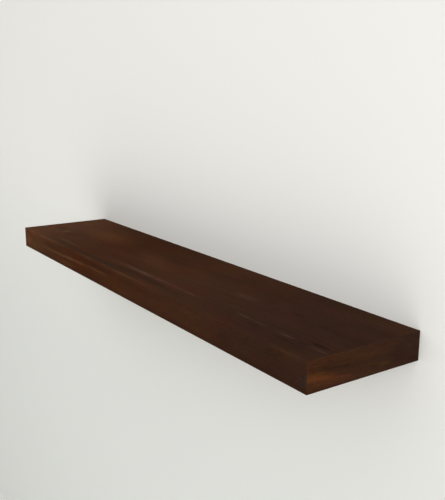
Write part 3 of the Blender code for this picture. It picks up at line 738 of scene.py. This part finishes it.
# %% Start, end and use a tree
def new_tree(name, inputs):
    """A geometry tree with a mesh and these named inputs, and its input sockets by name."""
    tree = bpy.data.node_groups.new(name, "GeometryNodeTree")
    tree.interface.new_socket("Geometry", in_out="OUTPUT", socket_type="NodeSocketGeometry")
    for label, kind in {"Geometry": "Geometry", **inputs}.items():
        tree.interface.new_socket(label, in_out="INPUT", socket_type="NodeSocket" + kind)
    print("tree", name, "takes", ", ".join(inputs))
    return tree, tree.nodes.new("NodeGroupInput").outputs


def end_tree(tree, shape, selection, finish):
    """Every tree ends alike: nothing stays an instance, and the finish is set."""
    shape = add(tree, "GeometryNodeRealizeInstances", {"Geometry": shape})
    finished = {"Geometry": shape, "Selection": selection, "Material": finish}
    shape = add(tree, "GeometryNodeSetMaterial", finished)
    add(tree, "NodeGroupOutput", {"Geometry": shape})
    return tree


def use_tree(piece, tree, **values):
    """Adds the tree to the piece's stack. An underscore in a name stands for a space."""
    modifier = piece.modifiers.new(tree.name, "NODES")
    modifier.node_group = tree
    for item in tree.interface.items_tree:
        key = item.name.replace(" ", "_").lower()
        if item.in_out == "INPUT" and key in values:
            modifier[item.identifier] = values[key]


def stations(name, places):
    """A mesh of loose points, for the trees to work at."""
    mesh = bpy.data.meshes.new(name)
    mesh.from_pydata(places, [], [])
    marks = bpy.data.objects.new(name, mesh)
    bpy.context.scene.collection.objects.link(marks)
    return marks


def put_away(*helpers):
    """Removes tools and stations that have done their work."""
    for helper in helpers:
        bpy.data.objects.remove(helper)


# %% Row and drilled
def row_tree():
    """Sets the piece at every station, facing one way and each at its own turn."""
    inputs = {"Stations": "Object", "Facing": "Vector", "Largest Turn": "Float", "Seed": "Int"}
    tree, given = new_tree("row", {**inputs, "Finish": "Material"})
    points = add(tree, "GeometryNodeObjectInfo", {"Object": given["Stations"]}).outputs["Geometry"]
    spin = {"Min": 0.0, "Max": given["Largest Turn"], "Seed": given["Seed"]}
    spin = add(tree, "FunctionNodeRandomValue", spin, data_type="FLOAT")
    spin = add(tree, "ShaderNodeCombineXYZ", {"Z": spin})
    spin = add(tree, "FunctionNodeEulerToRotation", {"Euler": spin})
    facing = add(tree, "FunctionNodeEulerToRotation", {"Euler": given["Facing"]})
    both = {"Rotation": facing, "Rotate By": spin}
    both = add(tree, "FunctionNodeRotateRotation", both, rotation_space="LOCAL")
    placed = {"Points": points, "Instance": given["Geometry"], "Rotation": both}
    placed = add(tree, "GeometryNodeInstanceOnPoints", placed)
    return end_tree(tree, placed, True, given["Finish"])


def drilled_tree():
    """Cuts the tool out at every station and finishes the walls of the holes."""
    inputs = {"Tool": "Object", "Stations": "Object", "Facing": "Vector", "Hole Finish": "Material"}
    tree, given = new_tree("drilled", inputs)
    points = add(tree, "GeometryNodeObjectInfo", {"Object": given["Stations"]}).outputs["Geometry"]
    tool = add(tree, "GeometryNodeObjectInfo", {"Object": given["Tool"]}).outputs["Geometry"]
    marked = {"Geometry": tool, "Name": "bored", "Value": True}
    marked = add(tree, "GeometryNodeStoreNamedAttribute", marked, data_type="BOOLEAN", domain="FACE")
    facing = add(tree, "FunctionNodeEulerToRotation", {"Euler": given["Facing"]})
    tools = {"Points": points, "Instance": marked, "Rotation": facing}
    tools = add(tree, "GeometryNodeInstanceOnPoints", tools)
    tools = add(tree, "GeometryNodeRealizeInstances", {"Geometry": tools})
    cut = {"Mesh 1": given["Geometry"], "Mesh 2": tools}
    cut = add(tree, "GeometryNodeMeshBoolean", cut, operation="DIFFERENCE", solver="EXACT")
    bored = add(tree, "GeometryNodeInputNamedAttribute", {"Name": "bored"}, data_type="BOOLEAN")
    return end_tree(tree, cut, bored, given["Hole Finish"])


row, drilled = row_tree(), drilled_tree()
print(row.name, "has", len(row.nodes), "nodes,", drilled.name, "has", len(drilled.nodes))


# %% [markdown]
# How a thread is worked out
#
# Every point of the grid has X from -0.5 to 0.5, which becomes the way round, and Y likewise, which becomes
# its row. The steps below turn these two into a radius, an angle and a height. Each step is one line of
# arithmetic: what it works out, the operation, and its terms, which are numbers or names of sizes and earlier
# steps.

# %% Steps of the thread
ROWS_A_PITCH = 4
CLAMPED = {"crest", "rise", "fall", "taper"}  # kept between 0 and 1
THREAD_STEPS = (
    # The size of the grid: all turns, and one more because the shear takes one off
    ("length", "SUBTRACT", "Stop", "Start"),
    ("turns", "DIVIDE", "length", "Pitch"),
    ("turns", "CEIL", "turns"),
    ("turns", "ADD", "turns", 1),
    ("rows", "MULTIPLY", "turns", ROWS_A_PITCH),
    ("points along", "ADD", "rows", 1),
    ("points around", "ADD", "Sides", 1),
    # How far round the point is, and in which row
    ("around", "ADD", "X", 0.5),
    ("angle", "MULTIPLY", "around", math.tau),
    ("row", "ADD", "Y", 0.5),
    ("row", "MULTIPLY", "row", "rows"),
    ("row", "ROUND", "row"),
    # The row's place in its pitch says whether it is on the crest
    ("half flat", "MULTIPLY", "Flat Rows", 0.5),
    ("middle", "ADD", "half flat", ROWS_A_PITCH / 2),
    ("off", "MODULO", "row", ROWS_A_PITCH),
    ("off", "SUBTRACT", "off", "middle"),
    ("off", "ABSOLUTE", "off"),
    ("full", "ADD", "half flat", 1),
    ("crest", "SUBTRACT", "full", "off"),
    # Height along the axis, cut off square at both ends
    ("shear", "SUBTRACT", "around", 1),
    ("height", "DIVIDE", "row", ROWS_A_PITCH),
    ("height", "ADD", "height", "shear"),
    ("height", "MULTIPLY", "height", "Pitch"),
    ("height", "ADD", "height", "Start"),
    ("height", "MAXIMUM", "height", "Start"),
    ("height", "MINIMUM", "height", "Stop"),
    # The thread runs out over one pitch at both ends, and a screw that isn't blunt narrows to a point
    ("risen", "SUBTRACT", "height", "Start"),
    ("left", "SUBTRACT", "Stop", "height"),
    ("rise", "DIVIDE", "risen", "Pitch"),
    ("fall", "DIVIDE", "left", "Pitch"),
    ("taper", "DIVIDE", "left", "Point Length"),
    ("taper", "MAXIMUM", "taper", "Blunt"),
    ("share", "MULTIPLY", "rise", "fall"),
    ("share", "MULTIPLY", "crest", "share"),
    ("depth", "SUBTRACT", "Crest Radius", "Core Radius"),
    ("depth", "MULTIPLY", "depth", "share"),
    ("radius", "ADD", "Core Radius", "depth"),
    ("radius", "MULTIPLY", "radius", "taper"),
    ("cosine", "COSINE", "angle"),
    ("sine", "SINE", "angle"),
    ("x", "MULTIPLY", "radius", "cosine"),
    ("y", "MULTIPLY", "radius", "sine"),
)
print("a thread takes", len(THREAD_STEPS), "steps")


# %% Threaded
def threaded_tree():
    """Winds a thread round the Z axis and joins it to the piece, which it closes."""
    sizes = ("Start", "Stop", "Pitch", "Core Radius", "Crest Radius", "Flat Rows", "Point Length", "Blunt")
    sizes = dict.fromkeys(sizes, "Float")
    tree, given = new_tree("threaded", {**sizes, "Sides": "Int", "Finish": "Material"})
    at = add(tree, "ShaderNodeSeparateXYZ", {"Vector": add(tree, "GeometryNodeInputPosition")})
    known = {socket.name: socket for socket in (*given, *at.outputs)}
    for name, operation, *terms in THREAD_STEPS:
        terms = {i: known.get(term, term) for i, term in enumerate(terms)}
        known[name] = add(tree, "ShaderNodeMath", terms, operation=operation, use_clamp=name in CLAMPED)
    grid = {"Vertices X": known["points around"], "Vertices Y": known["points along"]}
    grid = add(tree, "GeometryNodeMeshGrid", {"Size X": 1, "Size Y": 1, **grid}).outputs["Mesh"]
    rolled = add(tree, "ShaderNodeCombineXYZ", {"X": known["x"], "Y": known["y"], "Z": known["height"]})
    rolled = add(tree, "GeometryNodeSetPosition", {"Geometry": grid, "Position": rolled})
    joined = add(tree, "GeometryNodeJoinGeometry", {"Geometry": rolled})
    tree.links.new(given["Geometry"], joined.inputs["Geometry"])
    closed = add(tree, "GeometryNodeMergeByDistance", {"Geometry": joined, "Distance": MERGED_UNDER})
    return end_tree(tree, closed, True, given["Finish"])


threaded = threaded_tree()
print(threaded.name, "has", len(threaded.nodes), "nodes")

# %% [markdown]
# Turned pieces and tools
#
# Rods, screws, inserts, plugs and the drills that bore their holes are all turned. A profile of radius and
# height runs round the outside, so that the material is always on the same side and every face comes out
# facing outwards. A profile may come in two strips, with a gap where a thread closes the piece. The length
# along the profile is kept as an attribute, because the marks of the turning tool follow it.

# %% Turned pieces
def turned(name, sides, *strips, waver=None):
    """Turns strips of (radius, height) points about the Z axis. A waver adds to the radius."""
    bm = bmesh.new()
    tool_path = bm.verts.layers.float.new("turning")
    for strip in strips:
        rings, path = [], 0.0
        for i, (radius, height) in enumerate(strip):
            path += math.dist(strip[i - 1], strip[i]) if i else 0
            ring = []
            for side in range(sides):
                angle = math.tau * side / sides
                wide = radius + (waver(angle, height) if waver and radius else 0)
                vertex = bm.verts.new((wide * math.cos(angle), wide * math.sin(angle), height))
                vertex[tool_path] = path
                ring.append(vertex)
            rings.append(ring)
        for low, high in zip(rings, rings[1:]):
            for i in range(sides):
                bm.faces.new((low[i - 1], low[i], high[i], high[i - 1]))
    return new_piece(name, bm)


def drill(name, sides, outline):
    """A turned tool, whose outline is closed on the axis at both ends."""
    return turned(name, sides, [(0, outline[0][1]), *outline, (0, outline[-1][1])])


# %% Crossed slots, cuts and bars
def cross_tool(name, span, slot, ends):
    """Two crossed slots between two ends, each with its height and its size."""
    arm, half_slot = span / 2, slot / 2
    quarter = [(arm, -half_slot), (arm, half_slot), (half_slot, half_slot)]
    outline = []
    for _ in range(4):
        outline += quarter
        quarter = [(-y, x) for x, y in quarter]
    bm = bmesh.new()
    low, high = ([bm.verts.new((x * size, y * size, z)) for x, y in outline] for z, size in ends)
    bm.faces.new(low[::-1])
    bm.faces.new(high)
    for i in range(len(outline)):
        bm.faces.new((low[i - 1], low[i], high[i], high[i - 1]))
    return new_piece(name, bm)


def cut(piece, tool):
    """Cuts one tool out of the piece."""
    modifier = piece.modifiers.new(tool.name, "BOOLEAN")
    modifier.operation = "DIFFERENCE"
    modifier.solver = "EXACT"
    modifier.object = tool


def eased_bar(name, low, high, radius, steps, *materials):
    """A straight bar with softened edges."""
    bm = bmesh.new()
    corners = bmesh.ops.create_cube(bm, size=1)["verts"]
    low, high = Vector(low), Vector(high)
    for corner in corners:
        corner.co = Vector(high[k] if corner.co[k] > 0 else low[k] for k in range(3))
    bmesh.ops.bevel(bm, geom=bm.edges[:], offset=radius, segments=steps, profile=0.5, affect="EDGES")
    return new_piece(name, bm, *materials)


# %% [markdown]
# Metals and pine
#
# The bracket is mild steel with bright zinc plate: a bluish metal with faint clouds and, along the bar, the
# fine lines of drawing. The wall screws are zinc plated and passivated yellow, a film so thin that it plays
# from gold to green and rose. The inserts are turned brass, and the set screws carry a black oxide. One
# function serves the metals, because they differ only in their tones, in the size of the clouds, and in which
# way the fine lines run. The battens and blocks inside the box are planed pine, with the same rings and
# fibres as the walnut, only wider and paler.

# %% Metals
def metal(name, tones, cloud_size, line_scale, roughness, line_bump, follows_tool=False):
    """A plated or turned metal. Its lines follow the object's axes, or the path of the turning tool."""
    material, tree, place = new_finish(name)
    cloud = streaks(tree, place, [1 / cloud_size] * 3, 4, 0.6)
    # The tones are spread over the span of the noise
    stops = [(0.3 + 0.4 * i / (len(tones) - 1), tone) for i, tone in enumerate(tones)]
    tone = add(tree, "ShaderNodeValToRGB", {"Fac": cloud}, stops=stops)
    if follows_tool:
        path = add(tree, "ShaderNodeAttribute", attribute_name="turning").outputs["Fac"]
        place = add(tree, "ShaderNodeCombineXYZ", {"X": path})
    lines = streaks(tree, place, line_scale, 3, 0.6)
    shade = {"Value": lines, **NOISE_SPAN, "To Min": 0.92, "To Max": 1.08}
    colour = layered(tree, tone, [(add(tree, "ShaderNodeMapRange", shade), 1, "MULTIPLY")])
    rough = add(tree, "ShaderNodeMath", {0: cloud, 1: lines}, operation="ADD")
    rough = {"Value": rough, "From Min": 0.7, "From Max": 1.3, "To Min": roughness[0], "To Max": roughness[1]}
    end_finish(tree, colour, rough, lines, (line_bump, 0.00005), {"Metallic": 1})
    return material


# Name, tones, size of the clouds, lines to a metre along X, Y and Z, roughness and relief. The drawn lines
# are 0.25 mm apart, and run along X on the bar and along Y on the rods.
ZINC_TONES = ("#a4abb0", "#b2b8bd", "#bdc2c6")
zinc_bar = metal("zinc_plated_flat_bar", ZINC_TONES, 0.020, (25, 4000, 4000), (0.28, 0.40), 0.3)
zinc_rod = metal("zinc_plated_round_bar", ZINC_TONES, 0.012, (4000, 30, 4000), (0.26, 0.38), 0.3)
YELLOW_TONES = ("#b59a5c", "#cdb069", "#b3ab6d", "#c99a76")
yellow_zinc = metal("yellow_passivated_zinc", YELLOW_TONES, 0.0022, (900, 900, 900), (0.24, 0.36), 0.15)
brass = metal("turned_brass", ("#b08d4c", "#c6a45d", "#d3b570"), 0.004, (6000, 1, 1), (0.22, 0.36), 0.5, True)
OXIDE_TONES = ("#1d1e21", "#2a2826", "#38383b")
black_oxide = metal("black_oxide_steel", OXIDE_TONES, 0.0016, (5000, 5000, 900), (0.34, 0.5), 0.3)
print("metals", [m.name for m in (zinc_bar, zinc_rod, yellow_zinc, brass, black_oxide)])


# %% Pine
PINE_RING = 0.0032
PINE_FIBRE_WAVES = (25, 1400, 1400)  # fibres 4 cm long and 0.7 mm wide
PINE_TONES = [(0, "#d8b98c"), (0.55, "#cfa877"), (0.88, "#b07f4e"), (1, "#d2b083")]


def planed_pine(name, turned_across, pith):
    """Planed softwood: rings round its pith and fine fibres. Its grain runs along X, or Y if turned."""
    material, tree, place = new_finish(name)
    grain, _ = wander(tree, place, turned_across, (4, 14, 14), 0.012, 2, 0.5)
    ring = {"Fac": ring_age(tree, grain, pith, PINE_RING)}
    ring = add(tree, "ShaderNodeValToRGB", ring, stops=PINE_TONES)
    fibre = streaks(tree, grain, PINE_FIBRE_WAVES, 3, 0.6)
    shade = {"Value": fibre, **NOISE_SPAN, "To Min": 0.90, "To Max": 1.06}
    colour = layered(tree, ring, [(add(tree, "ShaderNodeMapRange", shade), 1, "MULTIPLY")])
    rough = {"Value": fibre, **NOISE_SPAN, "To Min": 0.62, "To Max": 0.78}
    end_finish(tree, colour, rough, fibre, (0.4, 0.0001), {"Specular IOR Level": 0.3})
    return material


pine_long = planed_pine("planed_pine_along_shelf", False, (0, -0.06, 0.05))
pine_deep = planed_pine("planed_pine_front_to_back", True, (0, 0.10, -0.05))
INSIDE = {  # the start of a node's name, and its finish
    "front_batten": pine_long, "left_batten": pine_deep, "right_batten": pine_deep,
    "rod_block": pine_deep, "honeycomb_core": kraft,
}
for start, finish in INSIDE.items():
    inside = [carried for node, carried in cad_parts.items() if node.startswith(start)]
    for carried in inside:
        carried.material_slots[0].material = finish
    print(len(inside), start, finish.name)

# %% [markdown]
# Where the hardware sits
#
# The CAD nodes say where each rod, screw, plug, insert and lock screw is, so no number is copied. Each place
# is in the middle of a node's box, but at its low end along the axis that the piece points along. A piece is
# turned with its length along Z, so three directions say how it is laid down at its station.

# %% Stations
OUT_OF_WALL = (math.radians(90), 0, 0)  # turns a piece's own +Z to -Y
INTO_WALL = (math.radians(-90), 0, 0)
UPWARDS = (0, 0, 0)


def end_of(node, axis):
    """The middle of a node's low end along this axis."""
    low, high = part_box(node)
    end = (low + high) / 2
    end["XYZ".index(axis)] = low["XYZ".index(axis)]
    return end


def wall_behind(node):
    """The place on the wall that is right behind a node."""
    place = end_of(node, "Y")
    place.y = 0
    return place


rod_nodes = [f"support_rod_{i}" for i in range(1, 5)]
screw_nodes = [f"wall_screw_{i}" for i in range(1, 6)]
plug_nodes = [f"wall_plug_{i}" for i in range(1, 6)]
insert_nodes = ["lock_insert_left", "lock_insert_right"]
rod_marks = stations("rod_stations", [wall_behind(node) for node in rod_nodes])
screw_bores = stations("screw_bores", [wall_behind(node) for node in screw_nodes])
screw_marks = stations("screw_stations", [end_of(node, "Y") for node in screw_nodes])
plug_marks = stations("plug_stations", [end_of(node, "Y") for node in plug_nodes])
insert_marks = stations("insert_stations", [end_of(node, "Z") for node in insert_nodes])
print("rods at", [round(v.co.x, 4) for v in rod_marks.data.vertices])

# %% [markdown]
# Holes in the bottom panel
#
# Each brass insert sits in a stepped hole: a shallow seat for its flange and a deeper bore for its body. The
# drill is one turned tool with both steps.

# %% Bottom panel and the other panels
FLANGE_HOLE = 0.00665
BODY_HOLE = 0.0051
SEAT_DEPTH = 0.0015
BREAK_OUT = 0.002  # a tool runs past the face by this much
steps = [(FLANGE_HOLE, -BREAK_OUT), (FLANGE_HOLE, SEAT_DEPTH), (BODY_HOLE, SEAT_DEPTH)]
panel_drill = drill("panel_drill", 64, [*steps, (BODY_HOLE, PANEL_THICK + BREAK_OUT)])
bottom = panels["bottom_panel"]
use_tree(bottom, drilled, tool=panel_drill, stations=insert_marks, facing=UPWARDS, hole_finish=fibreboard)
for node, piece in panels.items():
    hand_on(piece, "shelf", "walnut_veneer", node)
put_away(panel_drill)

# %% [markdown]
# Rear batten
#
# The batten behind the rods is pine, planed and with its edges broken. A stepped drill bores it for each rod,
# with room for the weld bead at the back.

# %% Rear batten
BATTEN_EASE = 0.0008
ROD_RADIUS = 0.0060
BORE_RADIUS = 0.0065
RELIEF_RADIUS = 0.0090
RELIEF_END = 0.0068  # from the wall, clear of the bead
low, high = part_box("rear_batten")
rear_batten = eased_bar("rear_batten_bored", low, high, BATTEN_EASE, 2, pine_long)
relief = [(RELIEF_RADIUS, -high.y - BREAK_OUT), (RELIEF_RADIUS, RELIEF_END)]
bore = [(BORE_RADIUS, RELIEF_END + RELIEF_RADIUS - BORE_RADIUS), (BORE_RADIUS, -low.y + BREAK_OUT)]
batten_drill = drill("batten_drill", 48, relief + bore)
use_tree(
    rear_batten, drilled,
    tool=batten_drill, stations=rod_marks, facing=OUT_OF_WALL, hole_finish=pine_long,
)
hand_on(rear_batten, "shelf", "pine", "rear_batten")
put_away(batten_drill)

# %% [markdown]
# Wall rail
#
# A hot rolled flat bar of 32 x 4 mm, sawn to length, bored for the rods, countersunk for the screws, deburred
# and then zinc plated, so that the holes are plated as well.

# %% Wall rail
RAIL_EASE = 0.0005
SEAT_RADIUS = 0.00615
SCREW_HOLE = 0.0028
MOUTH_RADIUS = 0.0050
HEAD_SINK = 0.0002  # the screw heads lie this far under the face
RIM_WIDTH = 0.0003  # the deburred rim of a countersink
low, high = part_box("wall_rail")
rail_thick = -low.y
wall_rail = eased_bar("wall_rail_plated", low, high, RAIL_EASE, 3, zinc_bar)
drill_top = rail_thick + BREAK_OUT
seat_drill = drill("seat_drill", 48, [(SEAT_RADIUS, -BREAK_OUT), (SEAT_RADIUS, drill_top)])
mouth_start = rail_thick - HEAD_SINK
rim = MOUTH_RADIUS + RIM_WIDTH
countersink = drill("countersink", 48, [
    (SCREW_HOLE, -BREAK_OUT), (SCREW_HOLE, mouth_start - MOUTH_RADIUS + SCREW_HOLE),
    (MOUTH_RADIUS, mouth_start), (rim, rail_thick + 0.0001), (rim, drill_top),
])
use_tree(wall_rail, drilled, tool=seat_drill, stations=rod_marks, facing=OUT_OF_WALL, hole_finish=zinc_bar)
use_tree(wall_rail, drilled, tool=countersink, stations=screw_bores, facing=OUT_OF_WALL, hole_finish=zinc_bar)
hand_on(wall_rail, "bracket", "zinc_plated_steel", "wall_rail")
put_away(seat_drill, countersink, screw_bores)

# %% [markdown]
# Support rods
#
# Each rod is a round bar with a chamfered tip. It stands in a hole of the rail and is welded round its foot:
# the bead shows the ripples that the welder leaves, one for each dip of the filler wire.

# %% Support rods
ROD_SIDES = 72
BEAD_RIPPLES = 18
RIPPLE_HEIGHT = 0.00022
BEAD_FOOT, BEAD_TOP = 0.0039, 0.0069  # from the wall: just inside the rail's face, and on the rod
BEAD = [  # radius and height of its hollow outline
    (0.0084, BEAD_FOOT), (0.0085, 0.0043), (0.0083, 0.0049), (0.0078, 0.0055), (0.0071, 0.0061),
    (0.0065, 0.0065), (0.0062, 0.0067),
]
rod_reach = -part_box("support_rod_1")[0].y
ROD_FOOT = [(0, 0.0004), (0.0057, 0.0004), (ROD_RADIUS, 0.0007), (ROD_RADIUS, BEAD_FOOT)]
ROD_TIP = [  # radius, and distance from the end
    (ROD_RADIUS, 0.0017), (ROD_RADIUS - 0.0002, 0.0013), (0.0047, 0.0002), (0.0044, 0), (0, 0),
]


def bead_waver(angle, height):
    """Ripples round the weld bead, and none on the rod."""
    inside = BEAD_FOOT < height < BEAD_TOP
    return RIPPLE_HEIGHT * (abs(math.sin(BEAD_RIPPLES / 2 * angle)) - 1) if inside else 0


tip = [(radius, rod_reach - back) for radius, back in ROD_TIP]
outline = [*ROD_FOOT, *BEAD, (ROD_RADIUS, BEAD_TOP), *tip]
rods = turned("support_rods_welded", ROD_SIDES, outline, waver=bead_waver)
use_tree(rods, row, stations=rod_marks, facing=OUT_OF_WALL, largest_turn=math.tau, seed=3, finish=zinc_rod)
hand_on(rods, "bracket", "zinc_plated_steel", *rod_nodes)
put_away(rod_marks)

# %% [markdown]
# Wall screws
#
# Five countersunk wood screws of 5 x 50 mm: a flat head with a cross recess, a plain neck, and a coarse sharp
# thread down to the point. The head and neck are turned, the thread tree closes them, and the recess is cut
# last. Nobody lines screws up, so each is left at its own angle.

# %% Wall screws
SCREW_SIDES = 32
SCREW_LENGTH = 0.050
NECK_END = 0.0142
NECK_RADIUS = 0.00178
CORE_RADIUS, CREST_RADIUS = 0.0016, 0.0025
SCREW_PITCH, POINT_LENGTH = 0.0024, 0.008
CROSS_SPAN, CROSS_SLOT = 0.0052, 0.0012  # at the face of the head: the recess narrows as it goes down
CROSS_DEPTH = 0.0024
HEAD = [(0, 0), (0.0043, 0), (0.0046, 0.0001), (0.0047, 0.0003), (0.0046, 0.0006), (0.0020, 0.0032)]
NECK = [(NECK_RADIUS, 0.0036), (NECK_RADIUS, 0.0138), (CORE_RADIUS, NECK_END)]
wall_screws = turned("wall_screws_threaded", SCREW_SIDES, HEAD + NECK)
use_tree(
    wall_screws, threaded,
    start=NECK_END, stop=SCREW_LENGTH, pitch=SCREW_PITCH, core_radius=CORE_RADIUS, crest_radius=CREST_RADIUS,
    flat_rows=0.0, point_length=POINT_LENGTH, blunt=0.0, sides=SCREW_SIDES, finish=yellow_zinc,
)
recess = cross_tool("recess", CROSS_SPAN, CROSS_SLOT, [(-0.001, 1.25), (CROSS_DEPTH, 0.4)])
cut(wall_screws, recess)
use_tree(
    wall_screws, row,
    stations=screw_marks, facing=INTO_WALL, largest_turn=math.tau, seed=7, finish=yellow_zinc,
)
hand_on(wall_screws, "bracket", "yellow_zinc_steel", *screw_nodes)
put_away(recess, screw_marks)

# %% [markdown]
# Wall plugs
#
# Nylon plugs of 8 x 40 mm hold the screws inside the wall. A plug has a plain collar, and behind it four legs
# with barbs, which the screw spreads.

# %% Wall plugs
PLUG_LENGTH = 0.040
PLUG_COLLAR = 0.010
PLUG_BORE = 0.0027
PLUG_BARBS = 4
PLUG_SIDES = 32
PLUG_TURN = 1.5  # radians: nearly a quarter turn, after which a plug looks the same again
SLIT_WIDTH, SLIT_SPAN = 0.0012, 0.012  # the span is wider than the plug
barb = (PLUG_LENGTH - PLUG_COLLAR) / PLUG_BARBS
outside = [(0.0038, 0), (0.0040, 0.0002), (0.0040, 0.0010), (0.0037, 0.0012), (0.0037, PLUG_COLLAR - 0.0002)]
for i in range(PLUG_BARBS):
    foot = PLUG_COLLAR + i * barb
    outside += [(0.00395, foot), (0.0040, foot + 0.0004), (0.0034, foot + barb - 0.0005)]
outside += [(0.0032, PLUG_LENGTH - 0.0002), (0.0031, PLUG_LENGTH)]
bore = [(PLUG_BORE, PLUG_LENGTH), (PLUG_BORE, 0.0003), (PLUG_BORE + 0.0003, 0)]
wall_plugs = turned("wall_plugs_barbed", PLUG_SIDES, [*bore, *outside, bore[0]])
slits = cross_tool("slits", SLIT_SPAN, SLIT_WIDTH, [(PLUG_COLLAR, 1), (PLUG_LENGTH + BREAK_OUT, 1)])
cut(wall_plugs, slits)
use_tree(
    wall_plugs, row,
    stations=plug_marks, facing=INTO_WALL, largest_turn=PLUG_TURN, seed=11, finish=grey_nylon,
)
hand_on(wall_plugs, "bracket", "grey_nylon", *plug_nodes)
put_away(slits, plug_marks)

# %% [markdown]
# Lock screws and their inserts
#
# A flanged brass insert is screwed into the underside by its coarse outer thread, with a driver in the two
# crossed slots of its flange. Inside it is tapped M6 with a pitch of 1 mm. An M6 x 16 socket set screw turns
# in it and clamps the rod above. The tap is made by the same thread tree as the screw, a little wider, and
# starts a whole number of pitches away, so that the two threads mesh. The screw backs out by 4 mm, which is
# four pitches, so they still mesh at the end of its travel.

# %% Lock screws
LOCK_LENGTH = 0.016
LOCK_PITCH = 0.001
THREAD_START = 0.00025  # from the lower end of the screw
LOCK_CORE, LOCK_CREST = 0.00245, 0.0030
LOCK_SIDES = 36
CUP_DEPTH = 0.0006  # the tip is hollow, and the chamfer round it is as long
SOCKET_CORNER, SOCKET_DEPTH = 0.001732, 0.0040  # 3 mm across flats
SOCKET_CONE = 0.0009  # the drill's point, under the flats
THREAD_STOP = LOCK_LENGTH - CUP_DEPTH
M6 = {"pitch": LOCK_PITCH, "flat_rows": 1.0, "blunt": 1.0, "sides": LOCK_SIDES}
LOCK_END = [(0, 0), (0.0022, 0), (LOCK_CORE, THREAD_START)]
LOCK_TIP = [
    (LOCK_CORE, THREAD_STOP), (0.0019, LOCK_LENGTH), (0.0014, LOCK_LENGTH), (0.0004, THREAD_STOP),
    (0, THREAD_STOP - 0.0001),
]
hexagon = [(0, -0.001), (SOCKET_CORNER, -0.001), (SOCKET_CORNER, SOCKET_DEPTH)]
socket_tool = turned("socket_tool", 6, [*hexagon, (0, SOCKET_DEPTH + SOCKET_CONE)])
for side in ("left", "right"):
    node = f"lock_screw_{side}"
    marks = stations("lock_station", [end_of(node, "Z")])
    screw = turned(node + "_threaded", LOCK_SIDES, LOCK_END, LOCK_TIP)
    use_tree(
        screw, threaded, **M6, start=THREAD_START, stop=THREAD_STOP,
        core_radius=LOCK_CORE, crest_radius=LOCK_CREST, finish=black_oxide,
    )
    cut(screw, socket_tool)
    use_tree(screw, row, stations=marks, facing=UPWARDS, largest_turn=0.0, seed=0, finish=black_oxide)
    hand_on(screw, f"{side}_lock", "blackened_steel", node)
    put_away(marks)
put_away(socket_tool)

# %% Inserts
INSERT_LENGTH = 0.013
INSERT_SIDES = 48
INSERT_CORE, INSERT_CREST, INSERT_PITCH = 0.0043, 0.0049, 0.0020
INSERT_BORE = 0.0026  # the foot of its inner thread
TAP_PLAY = 0.00006
TAP_LEAD = 5  # whole pitches from the screw's thread to the tap's start, outside the flange
INSERT_CHAMFER = 0.0004
FLANGE_THICK = 0.0012
TAP_ALLOWANCE = 0.0002  # what the drill leaves for the tap
SLOT_WIDTH, SLOT_DEPTH, SLOT_SPAN = 0.0012, 0.0007, 0.016  # the span is wider than the flange
tap_start = end_of("lock_screw_left", "Z").z + THREAD_START - TAP_LEAD * LOCK_PITCH
tap_start -= end_of("lock_insert_left", "Z").z
tap_stop = INSERT_LENGTH + LOCK_PITCH
tap_ends = [(0, tap_start), (INSERT_BORE, tap_start)], [(INSERT_BORE, tap_stop), (0, tap_stop)]
tap = turned("tap", LOCK_SIDES, *tap_ends)
use_tree(
    tap, threaded, **M6, start=tap_start, stop=tap_stop,
    core_radius=INSERT_BORE, crest_radius=LOCK_CREST + TAP_PLAY, finish=brass,
)
settle(tap)
drilled_bore = INSERT_BORE - TAP_ALLOWANCE
body_end = INSERT_LENGTH - INSERT_CHAMFER
flange = [
    (drilled_bore, body_end), (drilled_bore, 0.0006), (INSERT_BORE + 0.0006, 0), (0.0062, 0),
    (0.0065, 0.0002), (0.0065, 0.0010), (0.0063, FLANGE_THICK), (INSERT_CORE, FLANGE_THICK),
]
inner_end = [
    (INSERT_CORE, body_end), (INSERT_CORE - 0.0003, INSERT_LENGTH), (INSERT_BORE + 0.0003, INSERT_LENGTH),
    (drilled_bore, body_end),
]
inserts = turned("lock_inserts_threaded", INSERT_SIDES, flange, inner_end)
use_tree(
    inserts, threaded,
    start=FLANGE_THICK, stop=body_end, pitch=INSERT_PITCH, core_radius=INSERT_CORE,
    crest_radius=INSERT_CREST, flat_rows=0.0, blunt=1.0, sides=INSERT_SIDES, finish=brass,
)
cut(inserts, tap)
driver_slots = cross_tool("driver_slots", SLOT_SPAN, SLOT_WIDTH, [(-0.001, 1), (SLOT_DEPTH, 1)])
cut(inserts, driver_slots)
use_tree(inserts, row, stations=insert_marks, facing=UPWARDS, largest_turn=0.0, seed=0, finish=brass)
hand_on(inserts, "shelf", "brass", *insert_nodes)
put_away(tap, driver_slots, insert_marks)
